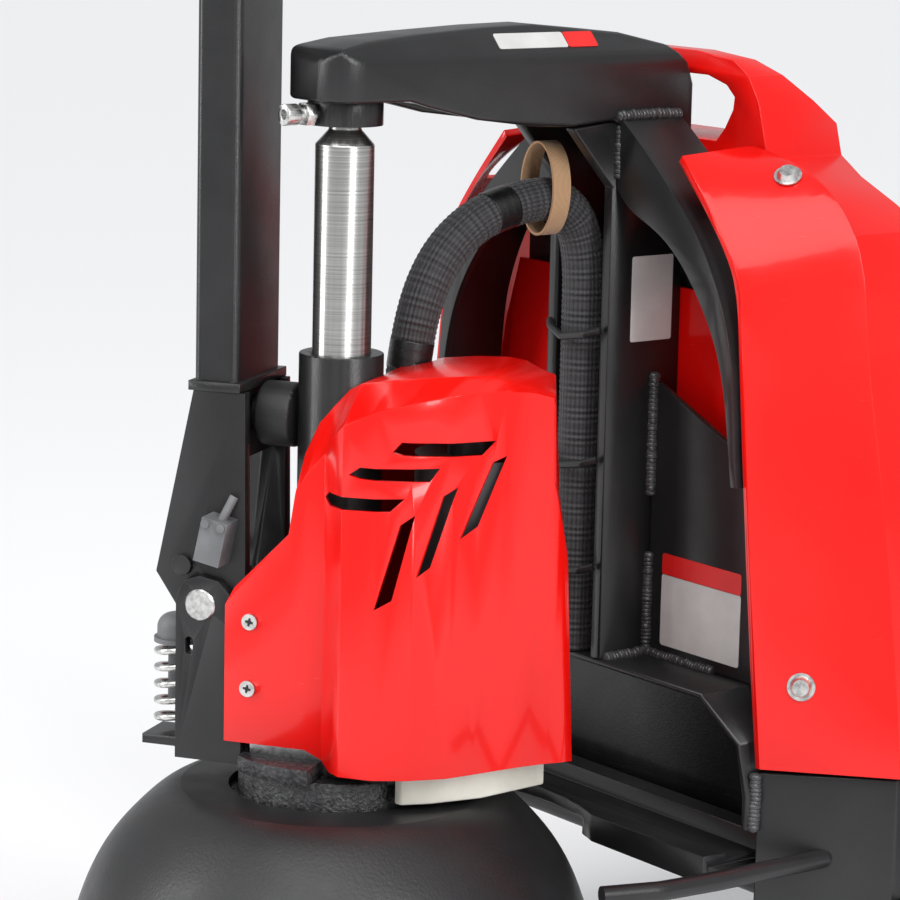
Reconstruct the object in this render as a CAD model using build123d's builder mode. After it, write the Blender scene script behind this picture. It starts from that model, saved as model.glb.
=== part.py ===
"""Electric pallet truck with a steered drive unit, raised forks and a lift-out battery.

Millimetres, +Z up, forks along +Y, operator's side at -Y. The truck stands on z = 0 with its
forks raised and its drive unit steered. Heights of the chassis are those of the raised truck.
The truck frame and the drive frame both have their origin on the steering axis at the floor.
"""

import os
from math import asin, cos, degrees, radians, sin, tan

from build123d import *

# ---------------------------------------------------------------- driving dimensions
fork_length = 1150.0
fork_width = 160.0
fork_depth = 55.0
fork_wall = 6.0
forks_outside = 560.0
lowered_height = 85.0
lift_height = 115.0
heel_y = 320.0  # load face, from the steering axis
steer_angle = -56.5  # drive unit's heading as modelled

drive_wheel_d = 210.0
drive_wheel_w = 70.0
load_roller_d = 74.0
load_roller_w = 70.0

rod_d = 36.0
rod_neck_d = 20.0
barrel_d = 52.0
bore_d = 40.1
barrel_top_z = 518.0
collar_d = 46.0
nose_z = 672.0  # underside of the gooseneck over the rod

fender_r = 168.0
fender_top_z = 246.0
fender_wall = 4.0
ring_r = 60.0
ring_hole_r = 45.05
ring_top_z = 262.0

column_gap = 44.0
column_plate = 9.0
column_front_y = 186.0
column_depth = 60.0
shelf_z = 306.0
sheet = 4.0
recess_half = 176.0

cover_edge_y = 192.0  # operator-side edge of the red side covers
cover_crease_y = 250.0
cover_back_y = 312.0

pivot_y = -73.0  # tiller hinge, in the drive frame
pivot_z = 362.0
pivot_pin_r = 10.0
ear_plate = 7.7
tiller_plate = 8.0
tiller_half = 37.0
tiller_tube_w = 70.0
tiller_tube_d = 29.0
tiller_top_z = 1010.0

pump_cover_x = 66.0
pump_cover_wall = 3.0
harness_d = 28.0

running = 0.05  # radial clearance of a turning or sliding fit
gap = 0.3  # clearance between neighbouring bodies

# ---------------------------------------------------------------- worked-out places
fork_top = lowered_height + lift_height
fork_x = (forks_outside - fork_width) / 2
tip_y = heel_y + fork_length
steer_y = -(tip_y - fender_r) / 2
barrel_r = barrel_d / 2
column_half = column_gap / 2 + column_plate
ear_half = tiller_half + gap + ear_plate

rocker_y, rocker_z = 262.0, 172.0
rocker_arm = 230.0
rocker_lever = 32.0
rocker_swing = degrees(asin(lift_height / 2 / rocker_arm))
trunnion_y = rocker_y - rocker_arm * cos(radians(rocker_swing))
trunnion_z = rocker_z - lift_height / 2

load_pivot_z = fork_top - 40.0
load_arm = 180.0
load_lever = 23.0
axle_z = load_roller_d / 2
arm_down = degrees(asin((load_pivot_z - axle_z) / load_arm))
arm_up = degrees(asin((load_pivot_z - lift_height - axle_z) / load_arm))
load_pivot_y = tip_y - 335.0
roller_y = load_pivot_y + load_arm * cos(radians(arm_down))
lever_tilt = (arm_down - arm_up) / 2

truck = Plane(origin=(0, steer_y, 0))
drive = Plane(
    origin=(0, steer_y, 0),
    x_dir=(cos(radians(steer_angle)), sin(radians(steer_angle)), 0),
    z_dir=(0, 0, 1),
)


# ---------------------------------------------------------------- helpers
def level(frame, z):
    """Horizontal plane of a frame at height z."""
    return frame.offset(z)


def facing_x(frame, x):
    """Plane that faces a frame's +x: local x runs along the frame's y, local y is up."""
    return Plane(frame.from_local_coords((x, 0, 0)), x_dir=frame.y_dir, z_dir=frame.x_dir)


def facing_back(frame, y):
    """Plane that faces a frame's -y: local x runs along the frame's x, local y is up."""
    return Plane(frame.from_local_coords((0, y, 0)), x_dir=frame.x_dir, z_dir=-frame.y_dir)


def plate(plane, points, thickness, mode=Mode.ADD):
    """Extrude a closed outline of points from a plane along its normal."""
    with BuildSketch(plane) as shape:
        with BuildLine():
            Polyline(*points, close=True)
        make_face()
    extrude(shape.sketch, amount=thickness, mode=mode)


def curved_plate(plane, outer, inner, thickness, mode=Mode.ADD):
    """Extrude a band between two smooth edges from a plane along its normal."""
    with BuildSketch(plane) as shape:
        curved_band(outer, inner)
    extrude(shape.sketch, amount=thickness, mode=mode)


def curved_band(outer, inner):
    """Face between two smooth edges whose ends are joined by straight lines."""
    with BuildLine() as band:
        Spline(*outer)
        Line(outer[-1], inner[-1])
        Spline(*inner[::-1])
        Line(inner[0], outer[0])
    make_face(band.edges())


def round_bar(plane, centre, radius, length, mode=Mode.ADD):
    """Extrude a circle that stands at a place on a plane along the plane's normal."""
    with BuildSketch(plane) as shape:
        with Locations(centre):
            Circle(radius)
    extrude(shape.sketch, amount=length, mode=mode)


def ring_bar(plane, centre, outer, inner, length):
    """Extrude a ring along a plane's normal."""
    with BuildSketch(plane) as shape:
        with Locations(centre):
            Circle(outer)
            Circle(inner, mode=Mode.SUBTRACT)
    extrude(shape.sketch, amount=length)


def slab(plane, x0, x1, y0, y1, thickness, mode=Mode.ADD, corner=0.0):
    """Extrude a rectangle between two corners, its corners rounded where a radius is given."""
    with BuildSketch(plane) as shape:
        with Locations(((x0 + x1) / 2, (y0 + y1) / 2)):
            if corner:
                RectangleRounded(x1 - x0, y1 - y0, corner)
            else:
                Rectangle(x1 - x0, y1 - y0)
    extrude(shape.sketch, amount=thickness, mode=mode)


def link(plane, start, end, radius, thickness):
    """Extrude a link with round ends between two places on a plane."""
    run = Vector(*end) - Vector(*start)
    middle = (Vector(*end) + Vector(*start)) * 0.5
    with BuildSketch(plane) as shape:
        with Locations(Location((middle.X, middle.Y), degrees_of(run))):
            SlotCenterToCenter(run.length, 2 * radius)
    extrude(shape.sketch, amount=thickness)


def pipe(frame, points, bend, radius):
    """Sweep a round section along a path with rounded corners and return the path."""
    with BuildLine(frame) as route:
        FilletPolyline(*points, radius=bend)
    path = route.wire()
    with BuildSketch(Plane(path @ 0, z_dir=path % 0)) as end:
        Circle(radius)
    sweep(end.sketch, path=path)
    return path


def degrees_of(run):
    """Heading of a flat vector, in degrees."""
    return Vector(1, 0, 0).get_signed_angle(Vector(run.X, run.Y, 0), Vector(0, 0, 1))


def same(points):
    """The outline unchanged, for the side it is written for."""
    return points


def mirrored(points):
    """The same outline on the other side of the centre line."""
    return [(-x, y) for x, y in points][::-1]


def save(name, solid):
    """Label a finished piece and write its STEP file."""
    solid.label = name
    export_step(solid, f"parts/{name}.step")


os.makedirs("parts", exist_ok=True)

# ---------------------------------------------------------------- mast: rod, collar, gooseneck
neck_half = 32.0
neck_wall = 7.0
collar_z = nose_z - 15.0
shoulder_z = collar_z - 12.0
rod_foot_z = 455.0
piston_h = 15.0

with BuildPart() as lift_rod:
    round_bar(level(truck, rod_foot_z), (0, 0), bore_d / 2 - running, piston_h)
    round_bar(level(truck, rod_foot_z), (0, 0), rod_d / 2, shoulder_z - rod_foot_z)
    with BuildSketch(level(truck, shoulder_z)):
        Circle(rod_d / 2)
    with BuildSketch(level(truck, collar_z - 3)):
        Circle(rod_neck_d / 2)
    loft()
    round_bar(level(truck, collar_z - 3), (0, 0), rod_neck_d / 2, nose_z + 20 - collar_z + 3)
save("lift_rod", lift_rod.part)

screw_z = nose_z - 7.8
screw_r = 4.0
with BuildPart() as clamp_collar:
    ring_bar(level(truck, collar_z), (0, 0), collar_d / 2, rod_neck_d / 2 + running, nose_z - collar_z)
    round_bar(facing_back(truck, -rod_neck_d / 2), (0, screw_z), screw_r + running, collar_d, Mode.SUBTRACT)
save("clamp_collar", clamp_collar.part)

with BuildPart() as collar_screw:
    round_bar(facing_back(truck, -rod_neck_d / 2 - gap), (0, screw_z), screw_r, 26)
    with BuildSketch(facing_back(truck, -collar_d / 2 - 2)):
        with Locations((0, screw_z)):
            RegularPolygon(6.5, 6, major_radius=False)
    extrude(amount=6.5)
    round_bar(facing_back(truck, -rod_neck_d / 2 - gap - 26), (0, screw_z), 6.5, 9)
    round_bar(facing_back(truck, -rod_neck_d / 2 - gap - 31), (0, screw_z), 3, 9, Mode.SUBTRACT)
save("collar_screw", collar_screw.part)

neck_side = [
    (-29, nose_z), (26, nose_z), (40, 668), (78, 659), (125, 653), (152, 652), (185, 655),
    (205, 640), (250, 640), (250, 676), (245, 690), (231, 701), (197, 709), (132, 715),
    (93, 714), (40, 711), (0, 708), (-20, 704), (-29, 697),
]
neck_section = [(-neck_half, 630), (neck_half, 630), (neck_half, 696), (11, 718), (-11, 718), (-neck_half, 696)]
neck_hollow = [(34, 600), (243, 600), (243, 674), (235, 686), (34, 689)]
with BuildPart() as gooseneck:
    plate(facing_x(truck, -neck_half), neck_side, 2 * neck_half)
    plate(facing_back(truck, 300), neck_section, 400, Mode.INTERSECT)
    nose = gooseneck.faces().sort_by(Axis.Y)[0]
    fillet(nose.edges().filter_by(Axis.Z), 22)
    plate(facing_x(truck, -neck_half + neck_wall), neck_hollow, 2 * (neck_half - neck_wall), Mode.SUBTRACT)
    round_bar(level(truck, nose_z), (0, 0), rod_neck_d / 2 + running, 20 + running, Mode.SUBTRACT)
save("gooseneck", gooseneck.part)

# ---------------------------------------------------------------- welded frame above the recess
arch_y = 188.0
arch_depth = 50.0
arch_wall = 5.0
arch_outer = [(neck_half, 658), (61, 636), (84, 616), (108, 592), (130, 559), (143, 525), (149, 480), (154, 440)]
arch_inner = [(neck_half, 613), (42, 603), (73, 588), (112, 553), (131, 522), (140, 494), (145, 465), (150, 440)]
arch_lining = [(neck_half, 652), (58, 631), (81, 611), (104, 588), (125, 556), (138, 523), (144, 480), (149, 440)]

with BuildPart() as arch_frame:
    for turn in (same, mirrored):
        curved_plate(facing_back(truck, arch_y + arch_wall), turn(arch_outer), turn(arch_inner), arch_wall)
        curved_plate(facing_back(truck, arch_y + arch_depth), turn(arch_outer), turn(arch_lining), arch_depth)
save("arch_frame", arch_frame.part)

column_side = [
    (column_front_y, shelf_z), (column_front_y, 612), (152, 651), (186, 653.5), (205, 639.9),
    (column_front_y + column_depth, 639.9), (column_front_y + column_depth, shelf_z),
]
with BuildPart() as column_plates:
    for x in (column_gap / 2, -column_half):
        plate(facing_x(truck, x), column_side, column_plate)
save("column_plates", column_plates.part)

gusset_y = 226.0
gusset = [(column_half, shelf_z), (column_half, 487), (160, 432), (168, shelf_z + 60), (168, shelf_z)]
with BuildPart() as gusset_plates:
    for outline in (gusset, mirrored(gusset)):
        plate(facing_back(truck, gusset_y + 5), outline, 5)
save("gusset_plates", gusset_plates.part)

hood_outer = [(recess_half, 228), (recess_half, 250), (168, 282), (131, shelf_z)]
hood_inner = [(recess_half - sheet, 228), (recess_half - sheet, 249), (165, 279), (129, shelf_z - sheet)]
wall_y = column_front_y + column_depth
beam_z = 206.0
beam_half = 168.0
with BuildPart() as recess_box:
    outline = hood_outer + mirrored(hood_outer) + mirrored(hood_inner)[::-1] + hood_inner[::-1]
    plate(facing_back(truck, wall_y), outline, column_depth)
    slab(facing_back(truck, wall_y + sheet), -recess_half, recess_half, beam_z, shelf_z, sheet)
save("recess_box", recess_box.part)

beam_profile = [
    (160, 196), (160, 214), (178, 214), (180, beam_z + 5), (204, beam_z + 5), (206, 222), (222, 222),
    (224, beam_z + 5), (wall_y, beam_z + 5), (wall_y, beam_z), (165, beam_z), (165, 196),
]
with BuildPart() as cross_beam:
    plate(facing_x(truck, -beam_half), beam_profile, 2 * beam_half)
    round_bar(level(truck, beam_z - 20), (0, 0), fender_r + 3, 50, Mode.SUBTRACT)
save("cross_beam", cross_beam.part)

bracket_x = 177.0
bracket_plan = [
    (bracket_x, 194), (238, 255), (238, cover_back_y), (232, cover_back_y), (232, 257.5), (bracket_x, 202.5),
]
tube_r = 15.0
tube_half = 246.0
with BuildPart() as side_brackets:
    for outline in (bracket_plan, mirrored(bracket_plan)):
        plate(level(truck, 150), outline, 115)
    round_bar(facing_x(truck, -tube_half), (rocker_y, rocker_z), tube_r + running, 2 * tube_half, Mode.SUBTRACT)
save("side_brackets", side_brackets.part)

guard_r = 6.0
guard_z = 212.0
guard_path = [(206, 226, guard_z), (204, 140, guard_z), (200, 98, guard_z), (188, 62, guard_z)]
with BuildPart() as guard_bars:
    for side in (1, -1):
        pipe(truck, [(side * x, y, z) for x, y, z in guard_path], 30, guard_r)
    behind = [(bracket_x - 20, bracket_x - 3), (238, 255), (238, 290), (bracket_x - 20, 290)]
    for outline in (behind, mirrored(behind)):
        plate(level(truck, 150), outline, 115, Mode.SUBTRACT)
save("guard_bars", guard_bars.part)

# ---------------------------------------------------------------- load face, bay and forks
heel_plate = 8.0
heel_foot = fork_top - fork_depth
heel_outline = [
    (forks_outside / 2, heel_foot), (forks_outside / 2, 218), (246, 262), (246, 430), (222, 462),
]
notch_half = 20.0
with BuildPart() as load_backplate:
    plate(facing_back(truck, heel_y), heel_outline + mirrored(heel_outline), heel_plate)
    for x in (fork_x, -fork_x):
        slab(facing_back(truck, heel_y), x - notch_half, x + notch_half, heel_foot - 1, heel_foot + 16,
             heel_plate, Mode.SUBTRACT)
save("load_backplate", load_backplate.part)

bay_wall_outline = [(160, shelf_z + gap), (160, 430), (150, 500), (136, 545)]
with BuildPart() as bay_wall:
    plate(facing_back(truck, wall_y + sheet), bay_wall_outline + mirrored(bay_wall_outline), sheet)
save("bay_wall", bay_wall.part)

tray_z = 282.0
with BuildPart() as battery_tray:
    slab(level(truck, tray_z), -170, 170, wall_y + sheet, cover_back_y, 4)
save("battery_tray", battery_tray.part)

with BuildPart() as controller:
    slab(level(truck, 216), -95, 95, wall_y + sheet + 1, cover_back_y, 55, corner=4)
    for x in range(-80, 81, 20):
        slab(level(truck, 271), x - 2, x + 2, wall_y + 10, cover_back_y - 6, tray_z - 271)
save("controller", controller.part)

fork_side = [
    (heel_y, heel_foot), (heel_y, fork_top), (tip_y - 95, fork_top), (tip_y - 20, fork_top - 12),
    (tip_y, fork_top - 26), (tip_y - 5, fork_top - 40), (tip_y - 40, fork_top - 47), (tip_y - 110, heel_foot),
]


def fork(x):
    """One fork: an open channel with a solid nose and holes for its load arm's pivot pin."""
    half = fork_width / 2
    with BuildPart() as body:
        plate(facing_x(truck, x - half), fork_side, fork_width)
        slab(facing_x(truck, x - half + fork_wall), heel_y - 1, tip_y - 115, heel_foot - 1,
             fork_top - fork_wall, fork_width - 2 * fork_wall, Mode.SUBTRACT)
        round_bar(facing_x(truck, x - half - 1), (load_pivot_y, load_pivot_z), 8 + running,
                  fork_width + 2, Mode.SUBTRACT)
    return body.part


save("fork_right", fork(fork_x))
save("fork_left", fork(-fork_x))

# ---------------------------------------------------------------- red side covers and their screws
edge_outer = [(89, 638), (115, 609), (129, 592), (142, 573), (151, 529), (158, 460), (169, 360), (181, 268)]
back_outer = [(89, 642), (133, 633), (165, 617), (184, 596), (200, 529), (214, 460), (232, 360), (245, 268)]
edge_inner = [(86, 634), (112, 606), (125.5, 590), (138, 571), (147, 528), (154, 460), (165, 360), (177, 268)]
back_inner = [(89, 638), (132, 629), (162, 613), (180, 594), (196, 528), (210, 460), (228, 360), (241, 268)]


screw_seats = [((194.87, 211.04, 321.0), (0.668, -0.739, 0.091)), ((133.6, 239.9, 627.1), (0.358, -0.478, 0.802))]
screw_head_r = 8.7
screw_seat_gap = 0.45

above_flank = [(80, 590), (176, 592), (190, 599), (190, 700), (80, 700)]


def seat_plane(side, place, out):
    """Plane of one cover screw's seat, facing out of the cover."""
    at = truck.from_local_coords((side * place[0], place[1], place[2]))
    return Plane(at, z_dir=(side * out[0], out[1], out[2]))


def side_cover(side):
    """One shell: a slanted face from the operator-side edge out to a crease, then a flank."""
    turn = same if side > 0 else mirrored
    with BuildPart() as shell:
        with BuildSketch(facing_back(truck, cover_edge_y)) as edge:
            curved_band(turn(edge_outer), turn(edge_inner))
        with BuildSketch(facing_back(truck, cover_crease_y)) as crease:
            curved_band(turn(back_outer), turn(back_inner))
        loft([edge.sketch, crease.sketch], ruled=True)
        extrude(crease.sketch, amount=cover_crease_y - cover_back_y)
        plate(facing_back(truck, cover_back_y + 1), turn(above_flank), cover_back_y + 1 - cover_crease_y, Mode.SUBTRACT)
    return shell.part


save("side_cover_right", side_cover(1))
save("side_cover_left", side_cover(-1))

with BuildPart() as cover_screws:
    for side in (1, -1):
        for place, out in screw_seats:
            seat = seat_plane(side, place, out).offset(screw_seat_gap)
            with BuildSketch(seat):
                Circle(screw_head_r)
            extrude(amount=1)
            with BuildSketch(seat.offset(1)):
                Circle(7)
            extrude(amount=4, taper=25)
save("cover_screws", cover_screws.part)

# ---------------------------------------------------------------- lift-out battery
battery_front = wall_y + sheet + 4
case_h = 308.0
with BuildPart() as battery_case:
    slab(level(truck, tray_z + 4 + gap), -140, 140, battery_front, cover_back_y - 4, case_h, corner=6)
save("battery_case", battery_case.part)

hood_z = tray_z + 4 + gap + case_h
hood_back = cover_back_y + 6
hood_outline = [(176, hood_z), (150, 608), (118, 622), (99, 634), (95, 648), (89, 668), (79, 684), (64, 693), (30, 697)]
grip_outline = [(50, 641), (58, 650), (65, 662), (66, 670), (58, 677), (40, 682)]
hood_slope = [(265, 700), (hood_back + 20, 636), (hood_back + 20, 700)]
plug_x, plug_y, plug_seat = -135.0, 285.0, 624.0
plug_r = 6.0
with BuildPart() as battery_hood:
    plate(facing_back(truck, hood_back), hood_outline + mirrored(hood_outline), hood_back - battery_front)
    plate(facing_back(truck, hood_back + 1), grip_outline + mirrored(grip_outline), 80, Mode.SUBTRACT)
    plate(facing_x(truck, -180), hood_slope, 360, Mode.SUBTRACT)
    round_bar(level(truck, hood_z), (plug_x, plug_y), 18, plug_seat - hood_z)
    round_bar(level(truck, hood_z + 12), (plug_x, plug_y), plug_r + running, 30, Mode.SUBTRACT)
save("battery_hood", battery_hood.part)

with BuildPart() as emergency_plug:
    round_bar(level(truck, hood_z + 13), (plug_x, plug_y), plug_r, plug_seat + gap - hood_z - 13)
    round_bar(level(truck, plug_seat + gap), (plug_x, plug_y), 14, 9)
save("emergency_plug", emergency_plug.part)

# ---------------------------------------------------------------- harness in the column
harness_x, harness_y = -6.0, 195.0
harness_top = 540.0
with BuildPart() as column_harness:
    round_bar(level(truck, shelf_z), (harness_x, harness_y), harness_d / 2, harness_top - shelf_z)
save("column_harness", column_harness.part)

harness_route = [
    (harness_x, harness_y, harness_top),
    (harness_x, harness_y, 578),
    (-6, 172, 604),
    (-5, 136, 602),
    (-5, 102, 592),
    (-6, 75, 568),
    (-5, 58, 530),
    (-5, 54, 496),
]
with BuildPart() as free_harness:
    runs = [Vector(*b) - Vector(*a) for a, b in zip(harness_route, harness_route[1:])]
    radii = [
        0.45 * min(a.length, b.length) / tan(radians(a.get_angle(b) / 2)) for a, b in zip(runs, runs[1:])
    ]
    harness_line = pipe(truck, harness_route, radii, harness_d / 2)
print("harness radii", [round(r, 1) for r in radii], "length", round(harness_line.length, 1))
save("free_harness", free_harness.part)

clip_r = 2.5
clip_heights = (518.0, 434.0, 364.0)
with BuildPart() as wire_clips:
    for z in clip_heights:
        clip_path = [
            (-25, column_front_y - clip_r, z + 3), (-20, 180, z), (-4, 176, z - 4), (18, 178, z),
            (26, column_front_y - clip_r, z + 3),
        ]
        pipe(truck, clip_path, 3, clip_r)
save("wire_clips", wire_clips.part)

# ---------------------------------------------------------------- non-steered wheel housing
neck_flange_r = 96.0
fender_inner_top = fender_top_z - fender_wall
with BuildPart() as thrust_ring:
    ring_bar(level(truck, fender_inner_top - 8), (0, 0), neck_flange_r, ring_hole_r, 8)
    ring_bar(level(truck, fender_inner_top), (0, 0), ring_r, ring_hole_r, ring_top_z - fender_inner_top)
save("thrust_ring", thrust_ring.part)

trunnion_r = 8.0
arm_x0, arm_x1 = 170.5, 176.0
skirt = [(104, 243), (122, 229), (143, 204), (158, 172), (166, 140), (fender_r, 110)]
lining = [(r - fender_wall, z - 1) for r, z in skirt]
with BuildPart() as wheel_fender:
    with BuildSketch(facing_back(truck, 0)):
        with BuildLine():
            Polyline((98, fender_inner_top), (66, fender_inner_top), (66, fender_top_z), (96, fender_top_z))
            Spline((96, fender_top_z), *skirt)
            Polyline((fender_r, 110), (fender_r, 72), (fender_r - fender_wall, 72), (fender_r - fender_wall, 109))
            Spline(*lining[::-1], (98, fender_inner_top))
        make_face()
    revolve(axis=Axis(truck.origin, (0, 0, 1)))
    for side in (1, -1):
        boss = facing_x(truck, 155) if side > 0 else Plane(
            truck.from_local_coords((-155, 0, 0)), x_dir=(0, 1, 0), z_dir=(-1, 0, 0))
        turn = 1 if side > 0 else -1
        round_bar(boss, (trunnion_y, turn * trunnion_z), 15, arm_x0 - gap - 155)
        round_bar(boss, (trunnion_y, turn * trunnion_z), trunnion_r, arm_x1 + 2 - 155)
save("wheel_fender", wheel_fender.part)

# ---------------------------------------------------------------- rocker, push rods, load arms
slot_far = rocker_arm - rocker_arm * cos(radians(rocker_swing))
with BuildPart() as rocker:
    round_bar(facing_x(truck, -tube_half), (rocker_y, rocker_z), tube_r, 2 * tube_half)
    round_bar(facing_x(truck, -tube_half), (rocker_y, rocker_z), tube_r - 5, 2 * tube_half, Mode.SUBTRACT)
    heading = radians(180 + rocker_swing)
    reach = rocker_arm - slot_far / 2
    slot_at = (rocker_y + reach * cos(heading), rocker_z + reach * sin(heading))
    for x in (arm_x0, -arm_x1):
        link(facing_x(truck, x), (rocker_y + tube_r * cos(heading), rocker_z + tube_r * sin(heading)),
             slot_at, 14, arm_x1 - arm_x0)
        with BuildSketch(facing_x(truck, x - 1)):
            with Locations(Location(slot_at, 180 + rocker_swing)):
                SlotCenterToCenter(slot_far + 1, 2 * (trunnion_r + 0.6))
        extrude(amount=arm_x1 - arm_x0 + 2, mode=Mode.SUBTRACT)
    lever = radians(-90 + rocker_swing)
    rocker_pin = (rocker_y + rocker_lever * cos(lever), rocker_z + rocker_lever * sin(lever))
    for side in (fork_x, -fork_x):
        for x in (side - 15, side + 10):
            link(facing_x(truck, x), (rocker_y + tube_r * cos(lever), rocker_z + tube_r * sin(lever)),
                 rocker_pin, 10, 5)
        round_bar(facing_x(truck, side - 15), rocker_pin, 5, 30)
save("rocker", rocker.part)

lever = radians(90 - lever_tilt)
load_pin = (load_pivot_y + load_lever * cos(lever), load_pivot_z + load_lever * sin(lever))
eye_r, eye_w, eye_play = 11.0, 19.4, 1.6
with BuildPart() as push_rods:
    for side in (fork_x, -fork_x):
        for centre in (rocker_pin, load_pin):
            round_bar(facing_x(truck, side - eye_w / 2), centre, eye_r, eye_w)
        start = truck.from_local_coords((side, *rocker_pin))
        end = truck.from_local_coords((side, *load_pin))
        with BuildSketch(Plane(start, z_dir=end - start)):
            Circle(7)
        extrude(amount=(end - start).length)
        for centre in (rocker_pin, load_pin):
            round_bar(facing_x(truck, side - eye_w / 2 - 1), centre, 5 + eye_play, eye_w + 2, Mode.SUBTRACT)
save("push_rods", push_rods.part)

arm_x = load_roller_w / 2 + 3
with BuildPart() as load_arms:
    for side in (fork_x, -fork_x):
        for x in (side + arm_x, side - arm_x - 6):
            link(facing_x(truck, x), (load_pivot_y, load_pivot_z), (roller_y, axle_z), 14, 6)
        round_bar(facing_x(truck, side - fork_width / 2 + 1), (load_pivot_y, load_pivot_z), 8, fork_width - 2)
        round_bar(facing_x(truck, side - arm_x - 3), (roller_y, axle_z), 8, 2 * arm_x + 6)
        for x in (side - 15, side + 10):
            link(facing_x(truck, x), (load_pivot_y, load_pivot_z), load_pin, 9, 5)
        round_bar(facing_x(truck, side - 15), load_pin, 5, 30)
save("load_arms", load_arms.part)


def load_roller(side):
    """One polyurethane load roller with its bore."""
    half = load_roller_w / 2
    with BuildPart() as body:
        ring_bar(facing_x(truck, side - half), (roller_y, axle_z), load_roller_d / 2, 8 + running, load_roller_w)
        edges = body.edges().filter_by(GeomType.CIRCLE).group_by(SortBy.RADIUS)[-1]
        chamfer(edges, 3)
    return body.part


save("load_roller_right", load_roller(fork_x))
save("load_roller_left", load_roller(-fork_x))

# ---------------------------------------------------------------- steered drive unit
base_z = ring_top_z + gap
base_h = 9.7
base_top = base_z + base_h
with BuildPart() as base_plate:
    round_bar(level(drive, base_z), (0, 0), 68, base_h)
    slab(level(drive, base_z), -tiller_half, tiller_half, -88, 0, base_h)
    for x0, x1 in ((tiller_half + gap, 80), (-80, -tiller_half - gap)):
        slab(level(drive, base_z - 1), x0, x1, -100, -44, base_h + 2, Mode.SUBTRACT)
    for x0, x1 in ((44, 80), (-80, -44)):
        slab(level(drive, base_z - 1), x0, x1, 8, 60, base_h + 2, Mode.SUBTRACT)
save("base_plate", base_plate.part)

ear_side = [
    (-89, 264), (-45, 264), (-45, 345), (-52, 362), (-54, 371), (-61, 378), (-73, 380.5), (-83, 377),
    (-88, 370), (-89, 362),
]
spring_y = -107.0
spring_seat_z = 268.0
with BuildPart() as yoke_ears:
    for x in (tiller_half + gap, -ear_half):
        plate(facing_x(drive, x), ear_side, ear_plate)
    slab(level(drive, base_top), -tiller_half - gap, tiller_half + gap, -88, -82, 52)
    slab(level(drive, spring_seat_z - 6), -16, 16, spring_y - 17, -88, 6)
    slab(level(drive, spring_seat_z - 6), -16, 16, -91.5, -88, 40)
    round_bar(facing_x(drive, -ear_half - 1), (pivot_y, pivot_z), pivot_pin_r + running,
              2 * ear_half + 2, Mode.SUBTRACT)
    with BuildSketch(facing_x(drive, -ear_half - 1)):
        with Locations(Location((-80, 336), 90)):
            SlotOverall(11, 5)
    extrude(amount=2 * ear_half + 2, mode=Mode.SUBTRACT)
save("yoke_ears", yoke_ears.part)

with BuildPart() as pivot_pin:
    round_bar(facing_x(drive, -ear_half - 1), (pivot_y, pivot_z), pivot_pin_r, 2 * ear_half + 2)
    chamfer(pivot_pin.edges().filter_by(GeomType.CIRCLE), 1)
save("pivot_pin", pivot_pin.part)

gland_z = barrel_top_z - 28
floor_z = base_top + 12
with BuildPart() as cylinder_barrel:
    round_bar(level(drive, base_top), (0, 0), barrel_r, barrel_top_z - base_top)
    round_bar(level(drive, floor_z), (0, 0), bore_d / 2, gland_z - floor_z, Mode.SUBTRACT)
    round_bar(level(drive, gland_z), (0, 0), rod_d / 2 + running, barrel_top_z - gland_z, Mode.SUBTRACT)
save("cylinder_barrel", cylinder_barrel.part)

with BuildPart() as valve_block:
    slab(level(drive, base_top), -42, 42, -40, 44, 56)
    round_bar(level(drive, base_top - 1), (0, 0), barrel_r + running, 60, Mode.SUBTRACT)
save("valve_block", valve_block.part)

motor_x, motor_y = -14.0, 82.0
with BuildPart() as oil_tank:
    plate(level(drive, 250), [(38, 46), (44, 60), (34, 76), (10, 100), (-35, 126), (-56, 108), (-56, 46)], 78)
    round_bar(level(drive, 249), (0, 0), 69, base_top + gap - 249, Mode.SUBTRACT)
save("oil_tank", oil_tank.part)

with BuildPart() as pump_motor:
    round_bar(level(drive, 328.3), (motor_x, motor_y), 36, 132)
    round_bar(level(drive, 460.3), (motor_x, motor_y), 16, 14)
save("pump_motor", pump_motor.part)

cover_lip_y = -12.0
cover_open = 30.0
# sections across the cover: y, near wall, its top, near and far edge of the roof, its height, far wall, base
cover_sections = [
    (-55, 48, 365, 42, -42, 367, -48, 279),
    (-49, 48, 376, 42, -42, 378, -48, 279),
    (-14, 48, 412, 42, -42, 414, -48, 279),
    (-10, 48, 438, 32, -34, 460, -48, 279),
    (-2, 48, 451, 28, -34, 480, -48, 279),
    (9, 48, 464, 28, -36, 492, -48, 274),
    (18, 58, 477, 31, -44, 501, -60, 270),
    (27, 66, 485, 36, -52, 506, -70, 270),
    (48, 66, 495, 38, -58, 510, -71, 270),
    (68, 58, 500, 33, -60, 512, -71, 270),
    (88, 44, 504, 22, -60, 513, -71, 270),
    (100, 29, 505, 10, -58, 512, -70, 270),
    (112, 13, 504, -2, -56, 507, -68, 270),
    (124, -2, 502, -14, -52, 503, -65, 270),
    (133, -12, 498, -20, -50, 499, -61, 270),
    (134.5, -13, 446, -20, -50, 447, -60, 270),
    (141, -19, 421, -25, -42, 422, -46, 270),
    (148, -25, 397, -27, -29, 398, -31, 270),
]


def cover_section(near, crease, roof_near, roof_far, roof, far, base):
    """Outline of one section across the drive cover."""
    return [
        (near, base), (near, crease), (roof_near, roof), (roof_far, roof), (far, crease), (far, base),
    ]


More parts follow.
